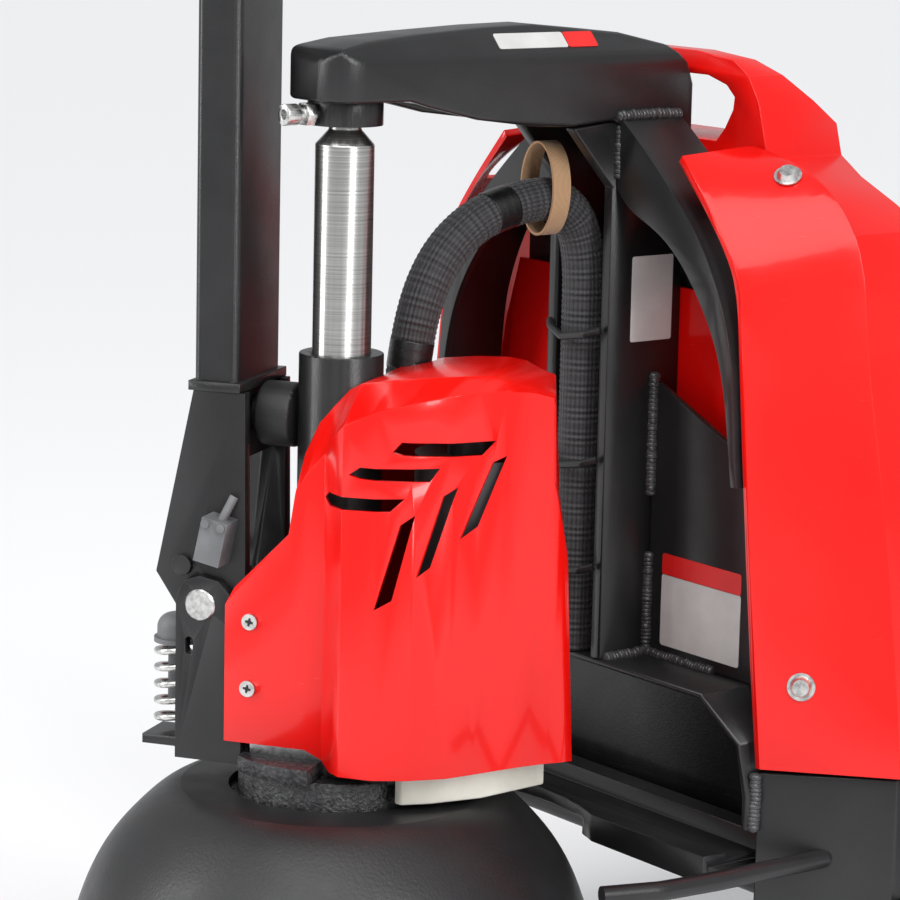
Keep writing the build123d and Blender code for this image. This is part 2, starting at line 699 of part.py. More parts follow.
def hollow_section(y, near, crease, roof_near, roof_far, roof, far, base):
    """Outline of the space inside one section, open towards the yoke where the cover has no roof."""
    wall = pump_cover_wall
    lid = wall if y > cover_lip_y else -cover_open
    near_in, far_in = near - wall, far + wall
    roof_in = min(near_in, roof_near - 1), max(far_in, roof_far + 1)
    return cover_section(near_in, crease - lid, *roof_in, roof - lid, far_in, base - 10)


cover_slots = [
    [(57, 471), (62, 477), (107, 475), (101, 467), (63, 469)],
    [(31, 456), (38, 461), (82, 461), (77, 453), (38, 454)],
    [(10, 438), (14, 442), (64, 443), (56, 435), (14, 434)],
    [(92, 417), (106, 462), (112, 465), (100, 424)],
    [(71, 395), (84, 444), (91, 449), (78, 401)],
    [(48, 375), (62, 427), (70, 433), (58, 381)],
]
with BuildPart() as drive_cover:
    for section in cover_sections:
        with BuildSketch(facing_back(drive, section[0])):
            with BuildLine():
                Polyline(*cover_section(*section[1:]), close=True)
            make_face()
    loft(ruled=True)
    for section in [(-60, *cover_sections[0][1:])] + cover_sections[:-1]:
        with BuildSketch(facing_back(drive, section[0])):
            with BuildLine():
                Polyline(*hollow_section(*section), close=True)
            make_face()
    loft(ruled=True, mode=Mode.SUBTRACT)
    for outline in cover_slots:
        plate(facing_x(drive, 8), outline, 80, Mode.SUBTRACT)
    round_bar(level(drive, 400), (0, 0), barrel_r + 2.5, 150, Mode.SUBTRACT)
    foot = (Vector(*harness_route[-2]) + Vector(*harness_route[-1])) * 0.5
    foot = drive.to_local_coords(truck.from_local_coords(foot))
    round_bar(level(drive, 470), (foot.X, foot.Y), harness_d / 2 + 3, 60, Mode.SUBTRACT)
save("drive_cover", drive_cover.part)

pan_seats = [(-38, 356), (-39, 314)]
with BuildPart() as pan_screws:
    for side in (1, -1):
        for y, z in pan_seats:
            seat = facing_x(drive, 48) if side > 0 else Plane(
                drive.from_local_coords((-48, 0, 0)), x_dir=drive.y_dir, z_dir=-drive.x_dir)
            centre = (y, side * z)
            round_bar(seat, centre, 5, 2.6)
            round_bar(seat.offset(1.4), centre, 1.6, 1.4, Mode.SUBTRACT)
save("pan_screws", pan_screws.part)

switch_at, switch_tilt, switch_depth = (-62.4, 404.2), -12.0, 18.0
with BuildPart() as limit_switch:
    with BuildSketch(facing_x(drive, tiller_half)):
        with Locations(Location(switch_at, switch_tilt)):
            Rectangle(17, 28)
    extrude(amount=switch_depth)
    with BuildSketch(facing_x(drive, tiller_half + switch_depth)):
        with Locations(Location(switch_at, switch_tilt)):
            with Locations((-5.2, 10.8), (5.2, 10.8)):
                Circle(2.7)
    extrude(amount=2)
    lead_foot = drive.from_local_coords((tiller_half + 10, -59, 415))
    lead_end = drive.from_local_coords((tiller_half + 4, -52.5, 431))
    with BuildSketch(Plane(lead_foot, z_dir=lead_end - lead_foot)):
        Circle(2.8)
    extrude(amount=(lead_end - lead_foot).length)
save("limit_switch", limit_switch.part)

spring_wire, spring_outer, spring_top = 4.5, 15.0, 326.0
spring_turns = 5
with BuildPart() as return_spring:
    pitch = (spring_top - spring_seat_z - spring_wire) / spring_turns
    spring_base = level(drive, spring_seat_z + spring_wire / 2)
    coil = Helix(pitch, pitch * spring_turns, spring_outer - spring_wire / 2, mode=Mode.PRIVATE)
    centre = drive.from_local_coords((0, spring_y, spring_seat_z + spring_wire / 2))
    coil = coil.moved(Location(centre))
    with BuildSketch(Plane(coil @ 0, z_dir=coil % 0)):
        Circle(spring_wire / 2)
    sweep(path=coil, is_frenet=True)
save("return_spring", return_spring.part)

with BuildPart() as spring_cap:
    round_bar(level(drive, spring_top + gap), (0, spring_y), 15, 3)
    round_bar(level(drive, spring_top + gap + 3), (0, spring_y), 13, 15)
    fillet(spring_cap.edges().filter_by(GeomType.CIRCLE).group_by(Axis.Z)[-1], 9)
    round_bar(level(drive, spring_seat_z + 22), (0, spring_y), 6, spring_top + gap - spring_seat_z - 22)
save("spring_cap", spring_cap.part)

# ---------------------------------------------------------------- drive: gearbox, motor and wheel
wheel_z = drive_wheel_d / 2
wheel_x0, wheel_x1 = -45.0, -45.0 + drive_wheel_w
case_x = wheel_x1 + 5
axle_r = 14.0
with BuildPart() as drive_gearbox:
    round_bar(level(drive, 214), (0, 0), 60, 16)
    slab(level(drive, 214), 0, case_x + 30, -40, 40, 16)
    round_bar(level(drive, 230), (0, 0), ring_hole_r - running, base_z - 230)
    slab(level(drive, wheel_z), case_x, case_x + 30, -40, 40, 214 - wheel_z)
    round_bar(facing_x(drive, case_x), (0, wheel_z), 62, 30)
    round_bar(facing_x(drive, wheel_x0 - 6), (0, wheel_z), axle_r, case_x - wheel_x0 + 6)
save("drive_gearbox", drive_gearbox.part)

with BuildPart() as drive_motor:
    round_bar(facing_x(drive, case_x + 30), (0, wheel_z), 52, 62)
    for turn in range(3):
        ring_bar(facing_x(drive, case_x + 42 + 14 * turn), (0, wheel_z), 55, 51, 6)
save("drive_motor", drive_motor.part)

hub_r = 72.0
with BuildPart() as drive_tyre:
    ring_bar(facing_x(drive, wheel_x0), (0, wheel_z), drive_wheel_d / 2, hub_r, drive_wheel_w)
    tread = drive_tyre.edges().filter_by(GeomType.CIRCLE).group_by(SortBy.RADIUS)[-1]
    fillet(tread, 6)
save("drive_tyre", drive_tyre.part)

with BuildPart() as drive_hub:
    ring_bar(facing_x(drive, wheel_x0), (0, wheel_z), hub_r, axle_r + running, drive_wheel_w)
    for x, length in ((wheel_x0, 18), (wheel_x1 - 18, 18)):
        with BuildSketch(facing_x(drive, x)):
            with Locations((0, wheel_z)):
                Circle(hub_r - 9)
                Circle(34, mode=Mode.SUBTRACT)
        extrude(amount=length, mode=Mode.SUBTRACT)
save("drive_hub", drive_hub.part)

# ---------------------------------------------------------------- tiller
plate_top = 494.0
side_plate = [
    (-82, plate_top), (-48, plate_top), (-46, 352), (-58, 343), (-78, 343), (-91, 357), (-106, 379),
]
with BuildPart() as tiller_side_plates:
    for x in (tiller_half - tiller_plate, -tiller_half):
        plate(facing_x(drive, x), side_plate, tiller_plate)
    inner = tiller_half - tiller_plate
    slab(level(drive, 450), -inner, inner, -62, -56, 44)
    round_bar(facing_x(drive, -inner), (-96, 376), 5, 2 * inner)
    round_bar(facing_x(drive, -tiller_half - 1), (pivot_y, pivot_z), pivot_pin_r + running,
              2 * tiller_half + 2, Mode.SUBTRACT)
    round_bar(facing_x(drive, tiller_half), (-87.5, 385), 6.5, 4)
save("tiller_side_plates", tiller_side_plates.part)

tube_y0, tube_y1 = -83.0, -83.0 + tiller_tube_d
tube_z = plate_top + 6
with BuildPart() as tiller_tube:
    slab(level(drive, plate_top), -38, 38, tube_y0 - 2, tube_y1 + 3, 6)
    slab(level(drive, tube_z), -tiller_tube_w / 2, tiller_tube_w / 2, tube_y0, tube_y1, tiller_top_z - tube_z,
         corner=5)
    slab(level(drive, tube_z), -tiller_tube_w / 2 + 3, tiller_tube_w / 2 - 3, tube_y0 + 3, tube_y1 - 3,
         tiller_top_z - tube_z, Mode.SUBTRACT, corner=2)
save("tiller_tube", tiller_tube.part)

buffer_z = 477.0
buffer_r = 20.0
with BuildPart() as stop_buffer:
    round_bar(facing_back(drive, -barrel_r - gap), (0, buffer_z), buffer_r, 23.5)
    round_bar(facing_back(drive, -barrel_r - gap - 23.5), (0, buffer_z), 12, 56 - barrel_r - gap - 23.5)
save("stop_buffer", stop_buffer.part)

head_z = tiller_top_z
head_mid = (tube_y0 + tube_y1) / 2
rocker_axis = (head_mid - 24, head_z + 83)
rocker_pin_r = 2.5
with BuildPart() as tiller_head:
    slab(level(drive, head_z), -50, 50, head_mid - 32, head_mid + 32, 130, corner=14)
    fillet(tiller_head.faces().sort_by(Axis.Z)[-1].edges(), 10)
    slab(facing_back(drive, head_mid - 20), -15.5, 15.5, head_z + 66, head_z + 100, 30, Mode.SUBTRACT)
    round_bar(facing_x(drive, -20), rocker_axis, rocker_pin_r + running, 40, Mode.SUBTRACT)
    slab(facing_back(drive, head_mid - 22), -11.5, 11.5, head_z + 29.5, head_z + 52.5, 30, Mode.SUBTRACT)
    round_bar(level(drive, head_z + 107), (0, head_mid), 15 + gap, 30, Mode.SUBTRACT)
    round_bar(facing_x(drive, -60), (head_mid, head_z + 95), 6 + running, 120, Mode.SUBTRACT)
save("tiller_head", tiller_head.part)

grip_r = 13.0
with BuildPart() as head_grips:
    for side in (1, -1):
        grip_path = [(50, 22), (82, 22), (122, 48), (122, 96), (96, 126), (50, 126)]
        pipe(drive, [(side * x, head_mid, head_z + z) for x, z in grip_path], 16, grip_r)
save("head_grips", head_grips.part)

with BuildPart() as throttle:
    round_bar(facing_x(drive, -76), (head_mid, head_z + 95), 6, 152)
    for x in (54, -76):
        slab(facing_x(drive, x), head_mid - 26, head_mid + 26, head_z + 88, head_z + 102, 22, corner=6)
save("throttle", throttle.part)

with BuildPart() as belly_button:
    round_bar(level(drive, head_z + 116), (0, head_mid), 15, 24)
    fillet(belly_button.edges().filter_by(GeomType.CIRCLE).group_by(Axis.Z)[-1], 5)
save("belly_button", belly_button.part)

with BuildPart() as lift_rocker:
    slab(facing_back(drive, head_mid - 24), -15, 15, head_z + 68, head_z + 98, 12)
    round_bar(facing_x(drive, -19), rocker_axis, rocker_pin_r, 38)
save("lift_rocker", lift_rocker.part)

with BuildPart() as horn_button:
    slab(facing_back(drive, head_mid - 26), -11, 11, head_z + 30, head_z + 52, 9)
save("horn_button", horn_button.part)

with BuildPart() as charge_gauge:
    slab(facing_back(drive, head_mid - 32), -30, 30, head_z + 103, head_z + 118, 2, corner=3)
save("charge_gauge", charge_gauge.part)

strap_w, strap_t = 14.0, 1.5
with BuildPart() as harness_strap:
    with BuildSketch(facing_back(truck, 168)):
        with Locations((-5.7, 610)):
            Ellipse(17, 30)
            Ellipse(17 - strap_t, 30 - strap_t, mode=Mode.SUBTRACT)
    extrude(amount=strap_w)
save("harness_strap", harness_strap.part)
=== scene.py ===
"""Looks of a walk-behind electric pallet truck, built around its fixed frame.

Lengths are millimetres from the steering axis at floor level until a mesh is made. The truck frame
has +Y towards the forks; the drive frame is turned about the steering axis by the drive's heading.
"""

import logging
from dataclasses import dataclass, field
from math import cos, pi, radians, sin
from typing import Any, Callable, Sequence

import bmesh
import bpy
from mathutils import Matrix, Vector

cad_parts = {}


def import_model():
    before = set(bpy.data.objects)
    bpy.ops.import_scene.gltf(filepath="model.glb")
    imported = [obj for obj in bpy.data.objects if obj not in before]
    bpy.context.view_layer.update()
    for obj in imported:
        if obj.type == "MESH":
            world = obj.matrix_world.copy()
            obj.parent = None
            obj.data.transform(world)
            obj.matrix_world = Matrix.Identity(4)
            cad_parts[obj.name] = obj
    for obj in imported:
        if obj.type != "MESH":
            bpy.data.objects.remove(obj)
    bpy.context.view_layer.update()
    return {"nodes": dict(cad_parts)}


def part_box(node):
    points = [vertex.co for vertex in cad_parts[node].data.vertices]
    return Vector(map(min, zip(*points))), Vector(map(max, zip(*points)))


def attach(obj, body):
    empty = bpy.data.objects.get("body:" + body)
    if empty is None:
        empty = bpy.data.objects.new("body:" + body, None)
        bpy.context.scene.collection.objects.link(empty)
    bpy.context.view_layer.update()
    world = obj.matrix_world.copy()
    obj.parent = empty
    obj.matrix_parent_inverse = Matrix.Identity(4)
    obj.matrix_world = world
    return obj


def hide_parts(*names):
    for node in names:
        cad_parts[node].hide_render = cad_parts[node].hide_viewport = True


log = logging.getLogger("pallet_truck")

Point = tuple[float, float, float]
Flat = tuple[float, float]

MM = 0.001
HEADING = radians(-56.5)


@dataclass(frozen=True)
class Places:
    """Turns millimetres of the truck or drive frame into row coordinates."""

    steer_x: float
    steer_y: float

    def truck(self, x: float, y: float, z: float) -> Vector:
        """Row position in metres of a point of the truck frame."""
        return Vector((self.steer_x + x * MM, self.steer_y + y * MM, z * MM))

    def drive(self, x: float, y: float, z: float) -> Vector:
        """Row position in metres of a point of the drive frame."""
        across = x * cos(HEADING) - y * sin(HEADING)
        along = x * sin(HEADING) + y * cos(HEADING)
        return self.truck(across, along, z)

    def in_drive(self, place: Vector) -> Point:
        """Millimetres of the drive frame for a row position in metres."""
        across, along = (place.x - self.steer_x) / MM, (place.y - self.steer_y) / MM
        x = across * cos(HEADING) + along * sin(HEADING)
        y = along * cos(HEADING) - across * sin(HEADING)
        return x, y, place.z / MM


# ------------------------------------------------------------------------------------ materials
class Recipe:
    """A material's node tree under construction."""

    def __init__(self, name: str) -> None:
        """Starts an empty tree with a principled shader.

        Args:
            name: the material's name.
        """
        self.material = bpy.data.materials.new(name)
        self.material.use_nodes = True
        self.nodes = self.material.node_tree.nodes
        self.links = self.material.node_tree.links
        self.nodes.clear()
        self.output = self.nodes.new("ShaderNodeOutputMaterial")
        self.shader = self.nodes.new("ShaderNodeBsdfPrincipled")
        self.links.new(self.shader.outputs["BSDF"], self.output.inputs["Surface"])
        self.coordinates = self.nodes.new("ShaderNodeTexCoord")

    def set(self, **values: Any) -> None:
        """Sets constant sockets of the shader, with underscores for the spaces of their names."""
        for key, value in values.items():
            socket = self.shader.inputs[key.replace("_", " ")]
            socket.default_value = value

    def stretched(self, scale: Point, source: str = "Object") -> bpy.types.NodeSocket:
        """Coordinates that are scaled differently along each axis.

        Args:
            scale: factor on each axis.
            source: name of the texture coordinate that is read.

        Returns:
            The mapped vector.
        """
        mapping = self.nodes.new("ShaderNodeMapping")
        mapping.inputs["Scale"].default_value = scale
        self.links.new(self.coordinates.outputs[source], mapping.inputs["Vector"])
        return mapping.outputs["Vector"]

    def noise(self, scale: float, detail: float = 3.0, vector: Any = None) -> bpy.types.NodeSocket:
        """A noise pattern.

        Args:
            scale: cells per metre.
            detail: octaves.
            vector: coordinates; the object's own where none are given.

        Returns:
            The noise value.
        """
        node = self.nodes.new("ShaderNodeTexNoise")
        node.inputs["Scale"].default_value = scale
        node.inputs["Detail"].default_value = detail
        self.links.new(vector or self.coordinates.outputs["Object"], node.inputs["Vector"])
        return node.outputs["Fac"]

    def ramp(self, value: Any, stops: Sequence[tuple[float, tuple[float, ...]]]) -> bpy.types.NodeSocket:
        """Colours chosen by a value.

        Args:
            value: the driving socket.
            stops: positions with their colours.

        Returns:
            The colour.
        """
        node = self.nodes.new("ShaderNodeValToRGB")
        elements = node.color_ramp.elements
        while len(elements) < len(stops):
            elements.new(0.5)
        for element, (position, colour) in zip(elements, stops):
            element.position = position
            element.color = (*colour, 1.0)
        self.links.new(value, node.inputs["Fac"])
        return node.outputs["Color"]

    def span(self, value: Any, low: float, high: float) -> bpy.types.NodeSocket:
        """A value from 0 to 1 mapped between two limits."""
        node = self.nodes.new("ShaderNodeMapRange")
        node.inputs["To Min"].default_value = low
        node.inputs["To Max"].default_value = high
        self.links.new(value, node.inputs["Value"])
        return node.outputs["Result"]

    def join(self, operation: str, first: Any, second: Any) -> bpy.types.NodeSocket:
        """Arithmetic between two values."""
        node = self.nodes.new("ShaderNodeMath")
        node.operation = operation
        for socket, value in zip(node.inputs, (first, second)):
            if isinstance(value, (int, float)):
                socket.default_value = value
            else:
                self.links.new(value, socket)
        return node.outputs["Value"]

    def bump(self, height: Any, distance: float, strength: float = 1.0) -> None:
        """Adds relief to the surface on top of what is there.

        Args:
            height: the height value.
            distance: relief in metres.
            strength: share of it that is used.
        """
        node = self.nodes.new("ShaderNodeBump")
        node.inputs["Distance"].default_value = distance
        node.inputs["Strength"].default_value = strength
        self.links.new(height, node.inputs["Height"])
        socket = self.shader.inputs["Normal"]
        if socket.is_linked:
            self.links.new(socket.links[0].from_socket, node.inputs["Normal"])
        self.links.new(node.outputs["Normal"], socket)

    def connect(self, value: Any, socket: str) -> None:
        """Links a value to one of the shader's sockets."""
        self.links.new(value, self.shader.inputs[socket])


@dataclass(frozen=True)
class SatinPaint:
    """Satin paint over steel, with fine orange peel and a little dust."""

    name: str = "satin_black_paint"
    dark: Point = (0.007, 0.007, 0.0075)
    light: Point = (0.016, 0.016, 0.017)
    roughness: tuple[float, float] = (0.26, 0.42)
    peel: float = 0.00012
    peel_scale: float = 900.0

    def make(self) -> bpy.types.Material:
        """Builds the material."""
        recipe = Recipe(self.name)
        cloud = recipe.noise(14.0, 6.0)
        recipe.connect(recipe.ramp(cloud, [(0.3, self.dark), (0.75, self.light)]), "Base Color")
        recipe.connect(recipe.span(recipe.noise(55.0, 5.0), *self.roughness), "Roughness")
        recipe.bump(recipe.noise(self.peel_scale, 2.0), self.peel)
        recipe.set(Specular_IOR_Level=0.5)
        return recipe.material


@dataclass(frozen=True)
class CastPaint:
    """Coarse painted casting whose grain sparkles."""

    name: str = "cast_black"
    dark: Point = (0.008, 0.008, 0.009)
    light: Point = (0.05, 0.05, 0.052)
    grain: float = 0.0009

    def make(self) -> bpy.types.Material:
        """Builds the material."""
        recipe = Recipe(self.name)
        grit = recipe.noise(420.0, 8.0)
        recipe.connect(recipe.ramp(grit, [(0.42, self.dark), (0.72, self.light)]), "Base Color")
        recipe.connect(recipe.span(grit, 0.55, 0.2), "Roughness")
        recipe.bump(grit, self.grain)
        recipe.bump(recipe.noise(90.0, 4.0), 0.0012)
        recipe.set(Specular_IOR_Level=0.6)
        return recipe.material


@dataclass(frozen=True)
class GlossShell:
    """Glossy moulded shell with a faint ripple and thin scuffs."""

    name: str = "red_shell"
    deep: Point = (0.64, 0.002, 0.0015)
    bright: Point = (0.80, 0.006, 0.003)
    roughness: tuple[float, float] = (0.20, 0.30)
    ripple: float = 0.0002

    def make(self) -> bpy.types.Material:
        """Builds the material."""
        recipe = Recipe(self.name)
        tone = recipe.noise(5.0, 2.0)
        recipe.connect(recipe.ramp(tone, [(0.3, self.deep), (0.7, self.bright)]), "Base Color")
        scuff = recipe.noise(60.0, 6.0, recipe.stretched((1.0, 1.0, 9.0)))
        recipe.connect(recipe.span(scuff, *self.roughness), "Roughness")
        recipe.bump(recipe.noise(38.0, 1.0), self.ripple, 0.5)
        recipe.set(Coat_Weight=0.25, Coat_Roughness=0.06, Specular_IOR_Level=0.3)
        return recipe.material


@dataclass(frozen=True)
class TurnedSteel:
    """Bare metal with fine marks that run across one axis."""

    name: str = "ground_steel"
    dark: Point = (0.34, 0.34, 0.33)
    light: Point = (0.62, 0.62, 0.60)
    marks: Point = (6.0, 6.0, 900.0)
    roughness: tuple[float, float] = (0.22, 0.4)

    def make(self) -> bpy.types.Material:
        """Builds the material."""
        recipe = Recipe(self.name)
        line = recipe.noise(1.0, 4.0, recipe.stretched(self.marks))
        stain = recipe.noise(30.0, 4.0)
        shade = recipe.join("MULTIPLY", line, recipe.span(stain, 0.8, 1.2))
        recipe.connect(recipe.ramp(shade, [(0.3, self.dark), (0.7, self.light)]), "Base Color")
        recipe.connect(recipe.span(line, *self.roughness), "Roughness")
        recipe.bump(line, 0.00006)
        recipe.set(Metallic=1.0)
        return recipe.material


@dataclass(frozen=True)
class PlatedSteel:
    """Zinc plated hardware, slightly cloudy."""

    name: str = "zinc_plate"
    dark: Point = (0.42, 0.42, 0.41)
    light: Point = (0.72, 0.72, 0.70)

    def make(self) -> bpy.types.Material:
        """Builds the material."""
        recipe = Recipe(self.name)
        cloud = recipe.noise(240.0, 5.0)
        recipe.connect(recipe.ramp(cloud, [(0.35, self.dark), (0.65, self.light)]), "Base Color")
        recipe.connect(recipe.span(cloud, 0.2, 0.38), "Roughness")
        recipe.bump(recipe.noise(900.0, 2.0), 0.00008)
        recipe.set(Metallic=1.0)
        return recipe.material


@dataclass(frozen=True)
class Moulded:
    """Moulded plastic or rubber with a fine spark-eroded grain."""

    name: str
    dark: Point
    light: Point
    roughness: tuple[float, float] = (0.42, 0.58)
    grain: float = 0.00018
    grain_scale: float = 1500.0
    glow: float = 0.0

    def make(self) -> bpy.types.Material:
        """Builds the material."""
        recipe = Recipe(self.name)
        tint = recipe.ramp(recipe.noise(40.0, 5.0), [(0.3, self.dark), (0.7, self.light)])
        recipe.connect(tint, "Base Color")
        recipe.connect(recipe.span(recipe.noise(120.0, 4.0), *self.roughness), "Roughness")
        recipe.bump(recipe.noise(self.grain_scale, 2.0), self.grain)
        recipe.set(Subsurface_Weight=self.glow, Subsurface_Radius=(0.02, 0.018, 0.014))
        return recipe.material


@dataclass(frozen=True)
class Braid:
    """Braided sleeve: crossing strands that follow the piece's own UV map."""

    name: str = "braided_sleeve"
    dark: Point = (0.006, 0.006, 0.007)
    light: Point = (0.045, 0.045, 0.05)
    strands: float = 15.0
    turns: float = 26.0

    def make(self) -> bpy.types.Material:
        """Builds the material."""
        recipe = Recipe(self.name)
        split = recipe.nodes.new("ShaderNodeSeparateXYZ")
        recipe.links.new(recipe.coordinates.outputs["UV"], split.inputs["Vector"])
        along = recipe.join("MULTIPLY", split.outputs["X"], 2 * pi * self.turns)
        around = recipe.join("MULTIPLY", split.outputs["Y"], 2 * pi * self.strands)
        first = recipe.join("SINE", recipe.join("ADD", along, around), 0.0)
        second = recipe.join("SINE", recipe.join("SUBTRACT", along, around), 0.0)
        weave = recipe.join("MULTIPLY", first, second)
        height = recipe.join("MULTIPLY_ADD", weave, 0.5)
        height.node.inputs[2].default_value = 0.5
        fibre = recipe.join("MULTIPLY", height, recipe.span(recipe.noise(1400.0, 3.0), 0.6, 1.3))
        recipe.connect(recipe.ramp(fibre, [(0.15, self.dark), (0.9, self.light)]), "Base Color")
        recipe.bump(height, 0.0008)
        recipe.bump(recipe.noise(1800.0, 2.0), 0.0002)
        recipe.set(Roughness=0.62, Sheen_Weight=0.15)
        return recipe.material


@dataclass(frozen=True)
class Webbing:
    """Flat woven strap."""

    name: str = "tan_webbing"
    dark: Point = (0.33, 0.17, 0.075)
    light: Point = (0.62, 0.38, 0.2)

    def make(self) -> bpy.types.Material:
        """Builds the material."""
        recipe = Recipe(self.name)
        rib = recipe.nodes.new("ShaderNodeTexWave")
        rib.bands_direction = "Y"
        rib.inputs["Scale"].default_value = 320.0
        rib.inputs["Distortion"].default_value = 0.6
        recipe.links.new(recipe.coordinates.outputs["Object"], rib.inputs["Vector"])
        shade = recipe.join("MULTIPLY", rib.outputs["Fac"], recipe.span(recipe.noise(160.0, 4.0), 0.6, 1.2))
        recipe.connect(recipe.ramp(shade, [(0.1, self.dark), (0.8, self.light)]), "Base Color")
        recipe.bump(rib.outputs["Fac"], 0.0003)
        recipe.set(Roughness=0.75, Sheen_Weight=0.2)
        return recipe.material


def made(kind: type, *values: Any, **settings: Any) -> Any:
    """A field that makes its material when the palette is built.

    Args:
        kind: the finish's class.
        values: the finish's first values in order.
        settings: its other values by name.

    Returns:
        The field.
    """
    return field(default_factory=lambda: kind(*values, **settings).make())


@dataclass
class Palette:
    """Every finish of the truck, made once."""

    paint: Any = made(SatinPaint)
    fender_paint: Any = made(SatinPaint, "fender_paint", roughness=(0.34, 0.5), peel=0.0002, peel_scale=500.0)
    casting: Any = made(CastPaint)
    red: Any = made(GlossShell)
    steel: Any = made(TurnedSteel)
    zinc: Any = made(PlatedSteel)
    alloy: Any = made(PlatedSteel, "cast_alloy", (0.3, 0.3, 0.3), (0.5, 0.5, 0.5))
    weld: Any = made(
        SatinPaint, "painted_weld", (0.02, 0.02, 0.021), (0.075, 0.075, 0.078), (0.14, 0.36), 0.0004, 600.0)
    rubber: Any = made(Moulded, "rubber", (0.008, 0.008, 0.008), (0.018, 0.018, 0.018))
    plastic: Any = made(Moulded, "black_plastic", (0.009, 0.009, 0.01), (0.02, 0.02, 0.022))
    switch: Any = made(Moulded, "switch_body", (0.10, 0.105, 0.11), (0.17, 0.175, 0.18))
    milky: Any = made(
        Moulded, "milky_tank", (0.62, 0.60, 0.52), (0.78, 0.76, 0.68), (0.28, 0.4), 0.0001, 300.0, 0.3)
    motor: Any = made(SatinPaint, "motor_paint", (0.03, 0.03, 0.032), (0.07, 0.07, 0.072), (0.3, 0.5))
    braid: Any = made(Braid)
    strap: Any = made(Webbing)
    tread: Any = made(Moulded, "tread", (0.03, 0.022, 0.016), (0.06, 0.045, 0.03), (0.5, 0.7))
    roller: Any = made(Moulded, "roller_tread", (0.35, 0.2, 0.05), (0.5, 0.3, 0.08), (0.4, 0.6))
    yellow: Any = made(Moulded, "yellow_key", (0.62, 0.36, 0.02), (0.75, 0.46, 0.03), (0.3, 0.45))
    label: Any = made(Moulded, "blank_label", (0.50, 0.50, 0.49), (0.60, 0.60, 0.58), (0.3, 0.5), 0.00005)
    red_label: Any = made(Moulded, "red_label", (0.62, 0.01, 0.01), (0.72, 0.015, 0.012), (0.3, 0.5), 0.00005)
    tape: Any = made(Moulded, "vinyl_tape", (0.006, 0.006, 0.006), (0.012, 0.012, 0.013), (0.2, 0.34))


# ------------------------------------------------------------------------------------ mesh tools
def new_piece(name: str, mesh: bpy.types.Mesh, material: bpy.types.Material) -> bpy.types.Object:
    """Links a mesh as an object at the origin.

    Args:
        name: the piece's name.
        mesh: its mesh, in row coordinates.
        material: its finish.

    Returns:
        The object.
    """
    piece = bpy.data.objects.new(name, mesh)
    bpy.context.scene.collection.objects.link(piece)
    mesh.materials.clear()
    mesh.materials.append(material)
    return piece


def applied(piece: bpy.types.Object) -> bpy.types.Object:
    """Turns a piece's live modifiers into its mesh.

    Args:
        piece: an object with modifiers.

    Returns:
        The same object with a plain mesh.
    """
    depsgraph = bpy.context.evaluated_depsgraph_get()
    mesh = bpy.data.meshes.new_from_object(piece.evaluated_get(depsgraph), depsgraph=depsgraph)
    piece.modifiers.clear()
    piece.data = mesh
    return piece


def softened(nodes: dict[str, Any], node: str, body: str, material: bpy.types.Material, width: float = 1.2,
             rounds: int = 2, sharp: float = 28.0, smooth: float = 35.0) -> bpy.types.Object:
    """Replaces a CAD node by a copy whose edges are rounded.

    Args:
        nodes: the frame's nodes by name.
        node: name of the node.
        body: the body that it rides on.
        material: its finish.
        width: width of the rounding in millimetres.
        rounds: segments of the rounding.
        sharp: least angle in degrees of an edge that is rounded.
        smooth: greatest angle in degrees that is shaded as one surface.

    Returns:
        The finished piece.
    """
    mesh = nodes[node].data.copy()
    shape = bmesh.new()
    shape.from_mesh(mesh)
    bmesh.ops.remove_doubles(shape, verts=shape.verts, dist=0.00001)
    bmesh.ops.dissolve_limit(shape, angle_limit=radians(1.0), verts=shape.verts, edges=shape.edges)
    shape.to_mesh(mesh)
    shape.free()
    piece = new_piece(f"{node}_finished", mesh, material)
    bevel = piece.modifiers.new("rounding", "BEVEL")
    bevel.width = width * MM
    bevel.segments = rounds
    bevel.limit_method = "ANGLE"
    bevel.angle_limit = radians(sharp)
    bevel.harden_normals = True
    bevel.use_clamp_overlap = True
    applied(piece)
    for polygon in piece.data.polygons:
        polygon.use_smooth = True
    piece.data.set_sharp_from_angle(angle=radians(smooth))
    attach(piece, body)
    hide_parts(node)
    return piece


def dressed(nodes: dict[str, Any], finishes: dict[str, bpy.types.Material]) -> None:
    """Gives CAD nodes that stay their finish.

    Args:
        nodes: the frame's nodes by name.
        finishes: node names with their materials.
    """
    for name, material in finishes.items():
        for slot in nodes[name].material_slots:
            slot.material = material


def curve_piece(name: str, points: Sequence[Vector], radius: float, material: bpy.types.Material,
                around: int = 6) -> bpy.types.Object:
    """A smooth tube along a route.

    Args:
        name: the piece's name.
        points: control points in row coordinates.
        radius: its radius in millimetres.
        material: its finish.
        around: bevel resolution.

    Returns:
        The curve object.
    """
    data = bpy.data.curves.new(name, "CURVE")
    data.dimensions = "3D"
    data.resolution_u = 16
    data.bevel_depth = radius * MM
    data.bevel_resolution = around
    data.use_fill_caps = True
    spline = data.splines.new("NURBS")
    spline.points.add(len(points) - 1)
    for point, place in zip(spline.points, points):
        point.co = (*place, 1.0)
    spline.order_u = 3
    spline.use_endpoint_u = True
    piece = bpy.data.objects.new(name, data)
    bpy.context.scene.collection.objects.link(piece)
    data.materials.append(material)
    return piece


